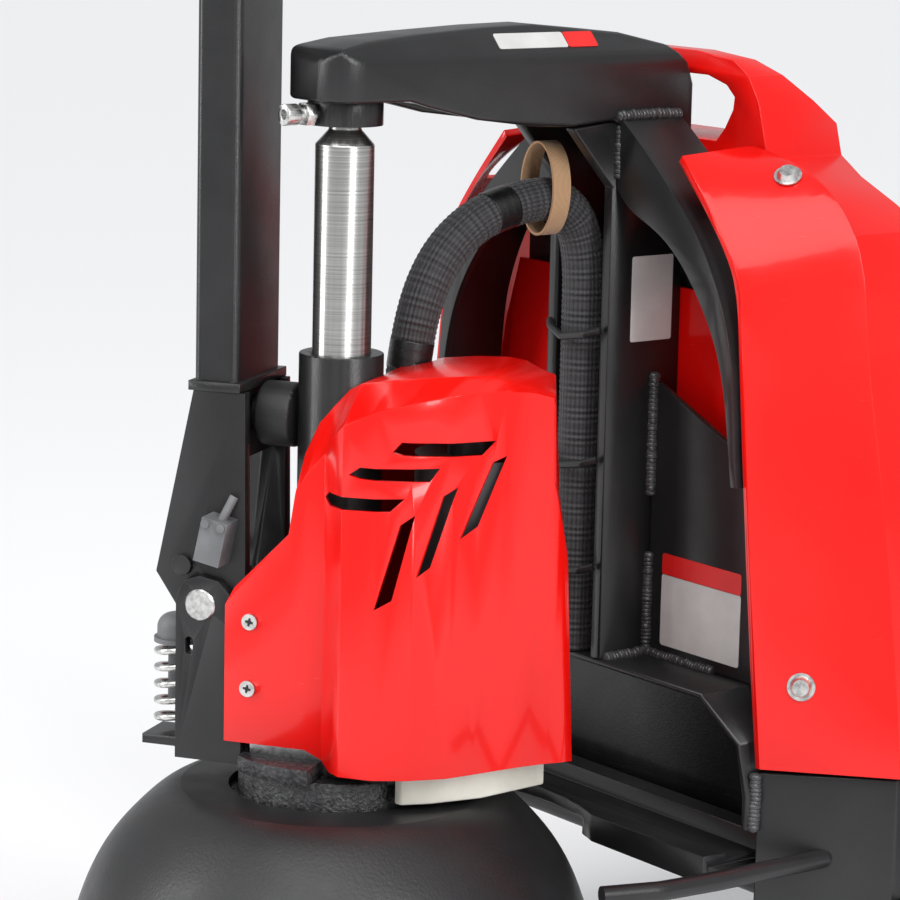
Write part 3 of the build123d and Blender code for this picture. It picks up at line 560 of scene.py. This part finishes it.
def route_line(name: str, points: Sequence[Vector]) -> list[Vector]:
    """Points read from the smooth line of a route.

    Args:
        name: a name for the temporary curve.
        points: control points in row coordinates.

    Returns:
        The line's points in order.
    """
    piece = curve_piece(name, points, 0.0, bpy.data.materials.new(name))
    depsgraph = bpy.context.evaluated_depsgraph_get()
    mesh = bpy.data.meshes.new_from_object(piece.evaluated_get(depsgraph), depsgraph=depsgraph)
    line = [vertex.co.copy() for vertex in mesh.vertices]
    bpy.data.objects.remove(piece)
    bpy.data.meshes.remove(mesh)
    return line


def sleeve_mesh(name: str, line: Sequence[Vector], radius: float, around: int,
                relief: Callable[[float, float], float], step: float = 0.0007) -> bpy.types.Mesh:
    """A tube along a line, with relief and a UV map that follows it.

    Args:
        name: the mesh's name.
        line: the centre line.
        radius: mean radius in millimetres.
        around: faces around.
        relief: change of radius in millimetres for a length in millimetres and an angle.
        step: length of a face along the tube in metres.

    Returns:
        The mesh.
    """
    lengths = [0.0]
    for first, second in zip(line, line[1:]):
        lengths.append(lengths[-1] + (second - first).length)
    total = lengths[-1]
    rings = max(8, int(total / step))
    shape = bmesh.new()
    layer = shape.loops.layers.uv.new("UVMap")
    side = Vector((1, 0, 0))
    rows: list[list[bmesh.types.BMVert]] = []
    index = 0
    for ring in range(rings + 1):
        at = total * ring / rings
        while index < len(lengths) - 2 and lengths[index + 1] < at:
            index += 1
        share = (at - lengths[index]) / max(1e-9, lengths[index + 1] - lengths[index])
        centre = line[index].lerp(line[index + 1], share)
        before = line[max(0, index - 1)]
        after = line[min(len(line) - 1, index + 2)]
        way = (after - before).normalized()
        side = (side - way * side.dot(way)).normalized()
        up = way.cross(side)
        row = []
        for step_around in range(around):
            turn = 2 * pi * step_around / around
            reach = (radius + relief(at / MM, turn)) * MM
            row.append(shape.verts.new(centre + (side * cos(turn) + up * sin(turn)) * reach))
        rows.append(row)
    for ring, (row, after_row) in enumerate(zip(rows, rows[1:])):
        for place in range(around):
            beyond = (place + 1) % around
            face = shape.faces.new((row[place], row[beyond], after_row[beyond], after_row[place]))
            face.smooth = True
            spots = ((ring, place), (ring, place + 1), (ring + 1, place + 1), (ring + 1, place))
            for loop, (u, v) in zip(face.loops, spots):
                loop[layer].uv = (u / rings, v / around)
    shape.faces.new(rows[0][::-1])
    shape.faces.new(rows[-1])
    bmesh.ops.recalc_face_normals(shape, faces=shape.faces)
    mesh = bpy.data.meshes.new(name)
    shape.to_mesh(mesh)
    shape.free()
    return mesh


def slab_piece(name: str, outline: Sequence[Flat], centre: Vector, across: Vector, up: Vector,
               thickness: float, material: bpy.types.Material) -> bpy.types.Object:
    """A thin plate of a flat outline.

    Args:
        name: the piece's name.
        outline: its corners in millimetres, anticlockwise.
        centre: where the outline's zero lies, on the plate's underside.
        across: direction of the outline's first number.
        up: direction of the outline's second number.
        thickness: its thickness in millimetres.
        material: its finish.

    Returns:
        The piece.
    """
    shape = bmesh.new()
    rise = across.cross(up).normalized() * thickness * MM
    under = [shape.verts.new(centre + across * u * MM + up * v * MM) for u, v in outline]
    over = [shape.verts.new(vertex.co + rise) for vertex in under]
    shape.faces.new(under[::-1])
    shape.faces.new(over)
    for index in range(len(under)):
        following = (index + 1) % len(under)
        shape.faces.new((under[index], under[following], over[following], over[index]))
    bmesh.ops.recalc_face_normals(shape, faces=shape.faces)
    mesh = bpy.data.meshes.new(name)
    shape.to_mesh(mesh)
    shape.free()
    return new_piece(name, mesh, material)


def rounded(width: float, height: float, corner: float, steps: int = 5) -> list[Flat]:
    """Outline of a rectangle with round corners about its centre.

    Args:
        width: its width in millimetres.
        height: its height in millimetres.
        corner: radius of its corners in millimetres.
        steps: edges in each corner.

    Returns:
        The outline's corners.
    """
    outline = []
    for quarter, (side, rise) in enumerate(((1, 1), (-1, 1), (-1, -1), (1, -1))):
        for step in range(steps + 1):
            turn = pi / 2 * (quarter + step / steps)
            outline.append((side * (width / 2 - corner) + corner * cos(turn),
                            rise * (height / 2 - corner) + corner * sin(turn)))
    return outline


def recess_outline(reach: float) -> list[Flat]:
    """Outline of a cross recess.

    Args:
        reach: half its width in millimetres.

    Returns:
        The outline's corners.
    """
    arm = reach * 0.26
    outline = []
    for quarter in range(4):
        turn = pi / 2 * quarter
        for u, v in ((reach, -arm), (reach, arm), (arm, arm)):
            outline.append((u * cos(turn) - v * sin(turn), u * sin(turn) + v * cos(turn)))
    return outline


class Growth:
    """A Geometry Nodes tree under construction, with named inputs."""

    def __init__(self, name: str) -> None:
        """Starts a tree that takes and gives geometry.

        Args:
            name: the tree's name.
        """
        self.tree = bpy.data.node_groups.new(name, "GeometryNodeTree")
        self.socket("Geometry", "NodeSocketGeometry")
        self.tree.interface.new_socket("Geometry", in_out="OUTPUT", socket_type="NodeSocketGeometry")
        self.entry = self.tree.nodes.new("NodeGroupInput")
        self.exit = self.tree.nodes.new("NodeGroupOutput")

    def socket(self, name: str, kind: str) -> None:
        """Adds a named input."""
        self.tree.interface.new_socket(name, in_out="INPUT", socket_type=kind)

    def node(self, kind: str, **settings: Any) -> bpy.types.Node:
        """Adds a node with its settings.

        Args:
            kind: the node's type.
            settings: properties to set on it.

        Returns:
            The node.
        """
        node = self.tree.nodes.new(kind)
        for key, value in settings.items():
            setattr(node, key, value)
        return node

    def link(self, source: Any, target: Any) -> None:
        """Links an output to an input."""
        self.tree.links.new(source, target)

    def finish(self, geometry: Any) -> None:
        """Realizes the copies, smooths them and gives them the material input."""
        real = self.node("GeometryNodeRealizeInstances")
        smooth = self.node("GeometryNodeSetShadeSmooth")
        dress = self.node("GeometryNodeSetMaterial")
        self.link(geometry, real.inputs["Geometry"])
        self.link(real.outputs["Geometry"], smooth.inputs["Geometry"])
        self.link(smooth.outputs["Geometry"], dress.inputs["Geometry"])
        self.link(self.entry.outputs["Material"], dress.inputs["Material"])
        self.link(dress.outputs["Geometry"], self.exit.inputs["Geometry"])

    def grow(self, piece: bpy.types.Object, values: dict[str, Any]) -> bpy.types.Object:
        """Runs the tree on a piece and keeps the result as its mesh.

        Args:
            piece: the piece whose mesh the tree starts from.
            values: the named inputs' values.

        Returns:
            The piece with a plain mesh.
        """
        modifier = piece.modifiers.new("growth", "NODES")
        modifier.node_group = self.tree
        for item in self.tree.interface.items_tree:
            if item.in_out == "INPUT" and item.name in values:
                modifier[item.identifier] = values[item.name]
        return applied(piece)


def weld_tree() -> Growth:
    """Overlapping ripples of a hand-laid weld along a line.

    Returns:
        The finished tree.
    """
    growth = Growth("weld_ripples")
    for name, kind in (("Pitch", "NodeSocketFloat"), ("Radius", "NodeSocketFloat"), ("Seed", "NodeSocketInt"),
                       ("Material", "NodeSocketMaterial")):
        growth.socket(name, kind)
    curve = growth.node("GeometryNodeMeshToCurve")
    points = growth.node("GeometryNodeCurveToPoints", mode="LENGTH")
    ball = growth.node("GeometryNodeMeshIcoSphere")
    ball.inputs["Subdivisions"].default_value = 3
    spread = growth.node("FunctionNodeRandomValue", data_type="FLOAT_VECTOR")
    spread.inputs[0].default_value = (0.85, 0.85, 0.6)
    spread.inputs[1].default_value = (1.12, 1.12, 0.85)
    copies = growth.node("GeometryNodeInstanceOnPoints")
    growth.link(growth.entry.outputs["Geometry"], curve.inputs["Mesh"])
    growth.link(curve.outputs["Curve"], points.inputs["Curve"])
    growth.link(growth.entry.outputs["Pitch"], points.inputs["Length"])
    growth.link(growth.entry.outputs["Radius"], ball.inputs["Radius"])
    growth.link(growth.entry.outputs["Seed"], spread.inputs["Seed"])
    growth.link(points.outputs["Points"], copies.inputs["Points"])
    growth.link(points.outputs["Rotation"], copies.inputs["Rotation"])
    growth.link(ball.outputs["Mesh"], copies.inputs["Instance"])
    growth.link(spread.outputs[0], copies.inputs["Scale"])
    growth.finish(copies.outputs["Instances"])
    return growth


def rib_tree() -> Growth:
    """A row of equal ribs that starts at each point of the piece.

    Returns:
        The finished tree.
    """
    growth = Growth("rib_row")
    for name, kind in (("Count", "NodeSocketInt"), ("Step", "NodeSocketVector"), ("Size", "NodeSocketVector"),
                       ("Material", "NodeSocketMaterial")):
        growth.socket(name, kind)
    row = growth.node("GeometryNodeMeshLine", mode="OFFSET")
    rib = growth.node("GeometryNodeMeshCube")
    line = growth.node("GeometryNodeInstanceOnPoints")
    copies = growth.node("GeometryNodeInstanceOnPoints")
    growth.link(growth.entry.outputs["Count"], row.inputs["Count"])
    growth.link(growth.entry.outputs["Step"], row.inputs["Offset"])
    growth.link(growth.entry.outputs["Size"], rib.inputs["Size"])
    growth.link(row.outputs["Mesh"], line.inputs["Points"])
    growth.link(rib.outputs["Mesh"], line.inputs["Instance"])
    growth.link(growth.entry.outputs["Geometry"], copies.inputs["Points"])
    growth.link(line.outputs["Instances"], copies.inputs["Instance"])
    growth.finish(copies.outputs["Instances"])
    return growth


def line_mesh(name: str, points: Sequence[Vector]) -> bpy.types.Mesh:
    """A mesh of points joined in order by edges.

    Args:
        name: the mesh's name.
        points: its points in order.

    Returns:
        The mesh.
    """
    mesh = bpy.data.meshes.new(name)
    mesh.from_pydata([tuple(place) for place in points], [(i, i + 1) for i in range(len(points) - 1)], [])
    return mesh


# ------------------------------------------------------------------------------------ sub-assemblies
@dataclass
class Workshop:
    """What every sub-assembly is built with."""

    nodes: dict[str, Any]
    places: Places
    palette: Palette


def recess(shop: Workshop, name: str, seat: Vector, out: Vector, height: float, reach: float,
           body: str) -> None:
    """Marks the cross recess on a screw head.

    Args:
        shop: nodes, places and finishes.
        name: the piece's name.
        seat: centre of the screw's seat.
        out: the way the head faces.
        height: height of the head's top above the seat in millimetres.
        reach: half the recess's width in millimetres.
        body: the body that it rides on.
    """
    out = out.normalized()
    across = out.cross(Vector((0.1, 0.2, 1.0))).normalized()
    up = out.cross(across)
    foot = seat + out * (height - 0.3) * MM
    piece = slab_piece(name, recess_outline(reach), foot, across, up, 0.45, shop.palette.plastic)
    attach(piece, body)


@dataclass
class Mast:
    """Lift rod, clamp collar and the gooseneck that carries the load frame on them."""

    shop: Workshop
    neck_rounding: float = 5.0
    slope: tuple[Flat, Flat] = ((11, 718), (32, 696))
    label_width: float = 12.0
    label_middle: float = 0.56

    def build(self) -> None:
        """Dresses the mast's pieces."""
        paint = self.shop.palette.paint
        nodes = self.shop.nodes
        softened(nodes, "gooseneck", "chassis", paint, self.neck_rounding, 4, 20.0)
        softened(nodes, "clamp_collar", "chassis", paint, 1.2)
        softened(nodes, "lift_rod", "chassis", self.shop.palette.steel, 0.6)
        softened(nodes, "collar_screw", "chassis", self.shop.palette.zinc, 0.8)
        self.labels()
        log.info("mast built")

    def labels(self) -> None:
        """Sticks the blank labels on the slanted shoulder."""
        (x0, z0), (x1, z1) = self.slope
        down = Vector((x1 - x0, 0, z1 - z0)).normalized()
        ahead = Vector((0, 1, 0))
        for name, start, end, material in (
                ("neck_label", 96, 150, self.shop.palette.label),
                ("neck_label_end", 150.6, 174, self.shop.palette.red_label)):
            foot = self.shop.places.truck(
                x0 + (x1 - x0) * self.label_middle, (start + end) / 2, z0 + (z1 - z0) * self.label_middle)
            outline = rounded(end - start, self.label_width, 1.5)
            piece = slab_piece(name, outline, foot, ahead, -down, 0.4, material)
            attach(piece, "chassis")


@dataclass
class WeldedFrame:
    """Arch, column, gussets, recess, cross beam and brackets of the chassis."""

    shop: Workshop
    bead_pitch: float = 2.6
    bead_radius: float = 4.0
    seams: tuple[tuple[Point, ...], ...] = (
        ((31.5, 225.5, 311), (31.7, 225.2, 340), (31.5, 225.6, 371)),
        ((31.6, 225.5, 413), (31.4, 225.2, 450), (31.6, 225.4, 489)),
        ((31.5, 192, 307), (31.8, 208, 306.8), (31.5, 224, 307), (60, 225.4, 306.8), (96, 225.6, 307)),
        ((33, 188, 657.5), (33, 212, 658), (33, 236, 657.5)),
        ((31.5, 190, 620), (31.6, 190, 636), (31.5, 191, 650)),
        ((176.8, 192, 230), (176.9, 193, 246), (176.6, 193, 262)),
    )
    rib_count: int = 15
    rib_pitch: float = 3.4
    rib_size: Point = (0.064, 0.0022, 0.0016)
    rib_start: Point = (66.0, 249.2, 549.5)
    pad_size: Flat = (66.0, 54.0)
    pad_place: Point = (66.0, 251.5, 573.0)
    pad_thickness: float = 1.5

    def welds(self) -> None:
        """Lays the weld beads along the seams on both sides."""
        growth = weld_tree()
        for index, seam in enumerate(self.seams):
            for side, word in ((1, "right"), (-1, "left")):
                name = f"weld_{index}_{word}"
                points = [self.shop.places.truck(side * x, y, z) for x, y, z in seam]
                piece = new_piece(name, line_mesh(name, points), self.shop.palette.weld)
                growth.grow(piece, {
                    "Pitch": self.bead_pitch * MM, "Radius": self.bead_radius * MM, "Seed": 7 + index,
                    "Material": self.shop.palette.weld,
                })
                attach(piece, "chassis")

    def ribbed_pad(self) -> None:
        """Hangs the ribbed rubber pads beside the column, above the bay wall."""
        growth = rib_tree()
        material = self.shop.palette.rubber
        for side, word in ((1, "right"), (-1, "left")):
            x, y, z = self.pad_place
            back = slab_piece(f"pad_back_{word}", rounded(*self.pad_size, 2),
                              self.shop.places.truck(side * x, y, z), Vector((1, 0, 0)), Vector((0, 0, 1)),
                              self.pad_thickness, material)
            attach(back, "chassis")
            x, y, z = self.rib_start
            start = self.shop.places.truck(side * x, y, z)
            ribs = new_piece(f"pad_ribs_{word}", line_mesh(f"pad_ribs_{word}", [start]), material)
            growth.grow(ribs, {
                "Count": self.rib_count, "Step": (0, 0, self.rib_pitch * MM), "Size": self.rib_size,
                "Material": material,
            })
            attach(ribs, "chassis")

    def labels(self) -> None:
        """Sticks the blank labels on the column and the gusset."""
        places = self.shop.places
        palette = self.shop.palette
        along, up, across = Vector((0, 1, 0)), Vector((0, 0, 1)), Vector((1, 0, 0))
        column = slab_piece("column_label", rounded(34, 55, 1.5), places.truck(31, 221, 540), along, up, 0.4,
                            palette.label)
        body = slab_piece("gusset_label", rounded(76, 47, 2), places.truck(83, 226, 338), across, up, 0.35,
                          palette.label)
        header = slab_piece("gusset_label_head", rounded(76, 14, 2), places.truck(83, 226, 368.2), across, up,
                            0.35, palette.red_label)
        for piece in (column, body, header):
            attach(piece, "chassis")

    def build(self) -> None:
        """Dresses the welded frame."""
        paint = self.shop.palette.paint
        nodes = self.shop.nodes
        softened(nodes, "arch_frame", "chassis", paint, 3.5, 4)
        for name in ("column_plates", "gusset_plates", "recess_box", "cross_beam", "side_brackets",
                     "load_backplate"):
            softened(nodes, name, "chassis", paint, 1.5, 2)
        dressed(nodes, {"guard_bars": paint, "battery_tray": paint, "controller": self.shop.palette.alloy})
        dressed(nodes, {"bay_wall": self.shop.palette.red, "wire_clips": paint})
        self.welds()
        self.ribbed_pad()
        self.labels()
        log.info("welded frame built")


@dataclass
class Forks:
    """Two forks with their rods, load arms and rollers."""

    shop: Workshop

    def build(self) -> None:
        """Dresses the forks and what runs in them."""
        nodes = self.shop.nodes
        paint = self.shop.palette.paint
        for name in ("fork_right", "fork_left"):
            softened(nodes, name, "chassis", paint, 3.0, 3)
        softened(nodes, "rocker", "rocker", paint, 0.8)
        dressed(nodes, {"push_rods": self.shop.palette.motor, "load_arms": paint})
        dressed(nodes,
                {"load_roller_right": self.shop.palette.roller, "load_roller_left": self.shop.palette.roller})
        log.info("forks built")


@dataclass
class Covers:
    """Red side covers and their screws."""

    shop: Workshop
    seats: tuple[tuple[Point, Point], ...] = (
        ((194.87, 211.04, 321.0), (0.668, -0.739, 0.091)), ((133.6, 239.9, 627.1), (0.358, -0.478, 0.802)),
    )
    head_height: float = 5.3
    recess_reach: float = 2.9

    def build(self) -> None:
        """Dresses the covers."""
        nodes = self.shop.nodes
        for name in ("side_cover_right", "side_cover_left"):
            softened(nodes, name, "chassis", self.shop.palette.red, 1.6, 3, 25.0)
        dressed(nodes, {"cover_screws": self.shop.palette.zinc})
        for index, (place, out) in enumerate(self.seats):
            for side, word in ((1, "right"), (-1, "left")):
                foot = self.shop.places.truck(side * place[0], place[1], place[2])
                facing = Vector((side * out[0], out[1], out[2]))
                recess(self.shop, f"cover_screw_recess_{index}_{word}", foot, facing,
                       self.head_height, self.recess_reach, "chassis")
        log.info("covers built")


@dataclass
class BatteryPack:
    """Lift-out battery with its hood."""

    shop: Workshop

    def build(self) -> None:
        """Dresses the battery."""
        nodes = self.shop.nodes
        softened(nodes, "battery_hood", "battery", self.shop.palette.red, 4.0, 4, 25.0)
        dressed(nodes, {"battery_case": self.shop.palette.plastic, "emergency_plug": self.shop.palette.red})
        log.info("battery built")


@dataclass
class WheelHousing:
    """Round fender and thrust ring over the drive wheel."""

    shop: Workshop

    def build(self) -> None:
        """Dresses the housing."""
        dressed(self.shop.nodes, {"wheel_fender": self.shop.palette.fender_paint})
        softened(self.shop.nodes, "thrust_ring", "wheel_housing", self.shop.palette.casting, 1.5)
        log.info("wheel housing built")


@dataclass
class DriveUnit:
    """Steered unit: cylinder, pump, tank, cover, yoke and drive."""

    shop: Workshop
    pan_seats: tuple[Flat, ...] = ((-38, 356), (-39, 314))
    nose_limits: tuple[Flat, ...] = (
        (260, 150.8), (275, 150.8), (350, 147.9), (398, 144.5),
        (421, 140), (447, 135.4), (505, 133.7), (530, 133.7),
    )
    nose_slant: float = 0.3146
    nose_zero: float = -12.0
    pan_x: float = 48.0
    pan_height: float = 2.6
    pan_reach: float = 2.6

    def shape_cover(self, cover: bpy.types.Object) -> None:
        """Draws in the cover's far nose corner so that its plan narrows towards the far side.

        Args:
            cover: the finished cover.
        """
        places = self.shop.places
        for vertex in cover.data.vertices:
            x, y, z = places.in_drive(vertex.co)
            limit = self.nose_limits[-1][1]
            for (low, reach), (high, next_reach) in zip(self.nose_limits, self.nose_limits[1:]):
                if low <= z < high:
                    limit = reach + (next_reach - reach) * (z - low) / (high - low)
            limit += self.nose_slant * (x - self.nose_zero)
            if y > limit:
                vertex.co = places.drive(x, limit, z)

    def pan_recesses(self) -> None:
        """Marks the cross recess of the cover's four screws."""
        for side, word in ((1, "near"), (-1, "far")):
            origin = self.shop.places.drive(0, 0, 0)
            out = (self.shop.places.drive(side, 0, 0) - origin).normalized()
            for index, (y, z) in enumerate(self.pan_seats):
                seat = self.shop.places.drive(side * self.pan_x, y, z)
                recess(self.shop, f"pan_recess_{index}_{word}", seat, out, self.pan_height, self.pan_reach,
                       "drive_unit")

    def build(self) -> None:
        """Dresses the drive unit."""
        nodes = self.shop.nodes
        palette = self.shop.palette
        self.shape_cover(softened(nodes, "drive_cover", "drive_unit", palette.red, 2.4, 3, 24.0, 62.0))
        softened(nodes, "cylinder_barrel", "drive_unit", palette.paint, 2.0)
        softened(nodes, "yoke_ears", "drive_unit", palette.paint, 0.8)
        softened(nodes, "base_plate", "drive_unit", palette.casting, 1.2)
        softened(nodes, "oil_tank", "drive_unit", palette.milky, 4.0, 4)
        dressed(nodes, {"pivot_pin": palette.zinc, "pan_screws": palette.zinc, "return_spring": palette.zinc})
        dressed(nodes,
                {"valve_block": palette.alloy, "pump_motor": palette.motor, "drive_motor": palette.motor})
        dressed(nodes,
                {"drive_gearbox": palette.casting, "drive_tyre": palette.tread, "drive_hub": palette.casting})
        dressed(nodes, {"spring_cap": palette.switch})
        self.pan_recesses()
        log.info("drive unit built")


@dataclass
class Tiller:
    """Tiller tube with its side plates, buffer, head and controls."""

    shop: Workshop

    def build(self) -> None:
        """Dresses the tiller."""
        nodes = self.shop.nodes
        palette = self.shop.palette
        softened(nodes, "tiller_side_plates", "tiller", palette.paint, 1.0)
        softened(nodes, "tiller_tube", "tiller", palette.paint, 1.0)
        softened(nodes, "stop_buffer", "tiller", palette.rubber, 2.5, 3)
        softened(nodes, "tiller_head", "tiller", palette.plastic, 2.0)
        softened(nodes, "limit_switch", "tiller", palette.switch, 0.6)
        dressed(nodes,
                {"head_grips": palette.rubber, "charge_gauge": palette.switch, "throttle": palette.plastic})
        dressed(nodes,
                {"belly_button": palette.red, "lift_rocker": palette.yellow, "horn_button": palette.yellow})
        log.info("tiller built")


@dataclass
class Harness:
    """Sleeved cables that leave the drive cover, pass the strap and run down the column."""

    shop: Workshop
    diameter: float = 28.0
    shelf: float = 306.5
    tape_spans: tuple[tuple[str, float, float], ...] = (
        ("harness_tape", 0.44, 0.53), ("harness_foot_tape", 0.93, 0.985),
    )
    route: tuple[Point, ...] = (
        (-6, 195, 540), (-6, 195, 578), (-6, 172, 604), (-5, 136, 602), (-5, 102, 592), (-6, 75, 568),
        (-5, 58, 530), (-5, 54, 496),
    )

    def braid_relief(self, length: float, turn: float) -> float:
        """Relief of the crossing strands in millimetres."""
        return 0.45 * sin(length * 0.9 + turn * 12) * sin(length * 0.9 - turn * 12)

    def build(self) -> None:
        """Builds the free stretch and dresses the rest."""
        points = [self.shop.places.truck(*place) for place in self.route]
        line = route_line("harness_route", points)
        mesh = sleeve_mesh("harness_sleeve", line, self.diameter / 2 - 0.5, 72, self.braid_relief)
        sleeve = new_piece("harness_sleeve", mesh, self.shop.palette.braid)
        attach(sleeve, "chassis")
        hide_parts("free_harness")
        self.column_stretch()
        for name, start, end in self.tape_spans:
            first, last = int(len(line) * start), int(len(line) * end)
            wrap = sleeve_mesh(name, line[first:last], self.diameter / 2 - 0.1, 48, self.tape_relief)
            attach(new_piece(name, wrap, self.shop.palette.tape), "chassis")
        dressed(self.shop.nodes, {"harness_strap": self.shop.palette.strap})

    def tape_relief(self, length: float, turn: float) -> float:
        """Relief of the tape's overlapping turns in millimetres."""
        return 0.1 * ((length / 6.0 + turn / (2 * pi)) % 1.0)

    def column_stretch(self) -> None:
        """Builds the straight stretch inside the column."""
        x, y, top = self.route[0]
        line = [self.shop.places.truck(x, y, top - (top - self.shelf) * step / 20) for step in range(21)]
        mesh = sleeve_mesh("column_sleeve", line, self.diameter / 2 - 0.5, 72, self.braid_relief)
        sleeve = new_piece("column_sleeve", mesh, self.shop.palette.braid)
        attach(sleeve, "chassis")
        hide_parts("column_harness")


# ------------------------------------------------------------------------------------ studio
@dataclass(frozen=True)
class Studio:
    """Pale floor, soft lights and the camera."""

    places: Places
    eye: Point = (1689.6, -1211.4, 851.4)
    azimuth: float = 52.5
    pitch: float = 10.7
    roll: float = 1.3
    lens: float = 138.0

    def camera(self) -> None:
        """Places the camera."""
        turn, tilt, lean = radians(self.azimuth), radians(self.pitch), radians(self.roll)
        ahead = Vector((-sin(turn) * cos(tilt), cos(turn) * cos(tilt), -sin(tilt)))
        right = Vector((cos(turn), sin(turn), 0.0))
        up = right.cross(ahead)
        leaning_right = right * cos(lean) + up * sin(lean)
        leaning_up = up * cos(lean) - right * sin(lean)
        data = bpy.data.cameras.new("camera")
        data.lens = self.lens
        data.sensor_width = 36.0
        data.clip_end = 60.0
        camera = bpy.data.objects.new("camera", data)
        turned = Matrix((leaning_right, leaning_up, -ahead)).transposed().to_4x4()
        camera.matrix_world = Matrix.Translation(self.places.truck(*self.eye)) @ turned
        bpy.context.scene.collection.objects.link(camera)
        bpy.context.scene.camera = camera

    def floor(self) -> None:
        """Lays the floor."""
        data = bpy.data.meshes.new("studio_floor")
        reach = 30.0
        corners = [(-reach, -reach, 0), (reach, -reach, 0), (reach, reach, 0), (-reach, reach, 0)]
        data.from_pydata(corners, [], [(0, 1, 2, 3)])
        recipe = Recipe("studio_floor")
        recipe.set(Base_Color=(0.86, 0.86, 0.87, 1.0), Roughness=0.9, Specular_IOR_Level=0.1)
        floor = new_piece("studio_floor", data, recipe.material)

    def lamp(self, name: str, place: Point, target: Point, size: Flat, power: float) -> None:
        """Hangs one soft rectangular lamp.

        Args:
            name: the lamp's name.
            place: where it hangs, in the truck frame.
            target: what it faces.
            size: its width and height in metres.
            power: watts.
        """
        data = bpy.data.lights.new(name, "AREA")
        data.shape = "RECTANGLE"
        data.size, data.size_y = size
        data.energy = power
        lamp = bpy.data.objects.new(name, data)
        lamp.location = self.places.truck(*place)
        way = self.places.truck(*target) - lamp.location
        lamp.rotation_euler = way.to_track_quat("-Z", "Y").to_euler()
        bpy.context.scene.collection.objects.link(lamp)

    def light(self) -> None:
        """Lights the scene softly from all round."""
        world = bpy.data.worlds.new("studio")
        world.use_nodes = True
        world.node_tree.nodes["Background"].inputs["Color"].default_value = (0.97, 0.98, 1.0, 1.0)
        world.node_tree.nodes["Background"].inputs["Strength"].default_value = 0.55
        bpy.context.scene.world = world
        data = bpy.data.lights.new("sun", "SUN")
        data.energy = 1.8
        data.angle = radians(50)
        sun = bpy.data.objects.new("sun", data)
        way = self.places.truck(-400, 500, 0) - self.places.truck(500, -700, 2200)
        sun.rotation_euler = way.to_track_quat("-Z", "Y").to_euler()
        bpy.context.scene.collection.objects.link(sun)
        self.lamp("key_lamp", (2300, -200, 1700), (100, 100, 450), (0.5, 1.5), 34)
        self.lamp("left_lamp", (-1100, -1900, 1300), (0, 0, 450), (0.5, 1.6), 22)
        bpy.context.scene.view_settings.view_transform = "Standard"

    def build(self) -> None:
        """Sets up the studio."""
        self.camera()
        self.floor()
        self.light()


def main() -> None:
    """Builds the looks of every sub-assembly in order."""
    logging.basicConfig(level=logging.INFO, format="%(name)s: %(message)s")
    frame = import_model()
    low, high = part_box("cylinder_barrel")
    places = Places((low[0] + high[0]) / 2, (low[1] + high[1]) / 2)
    shop = Workshop(frame["nodes"], places, Palette())
    Studio(places).build()
    for part in (Harness, Mast, WeldedFrame, Forks, Covers, BatteryPack, WheelHousing, DriveUnit, Tiller):
        part(shop).build()


if __name__ == "__main__":
    main()
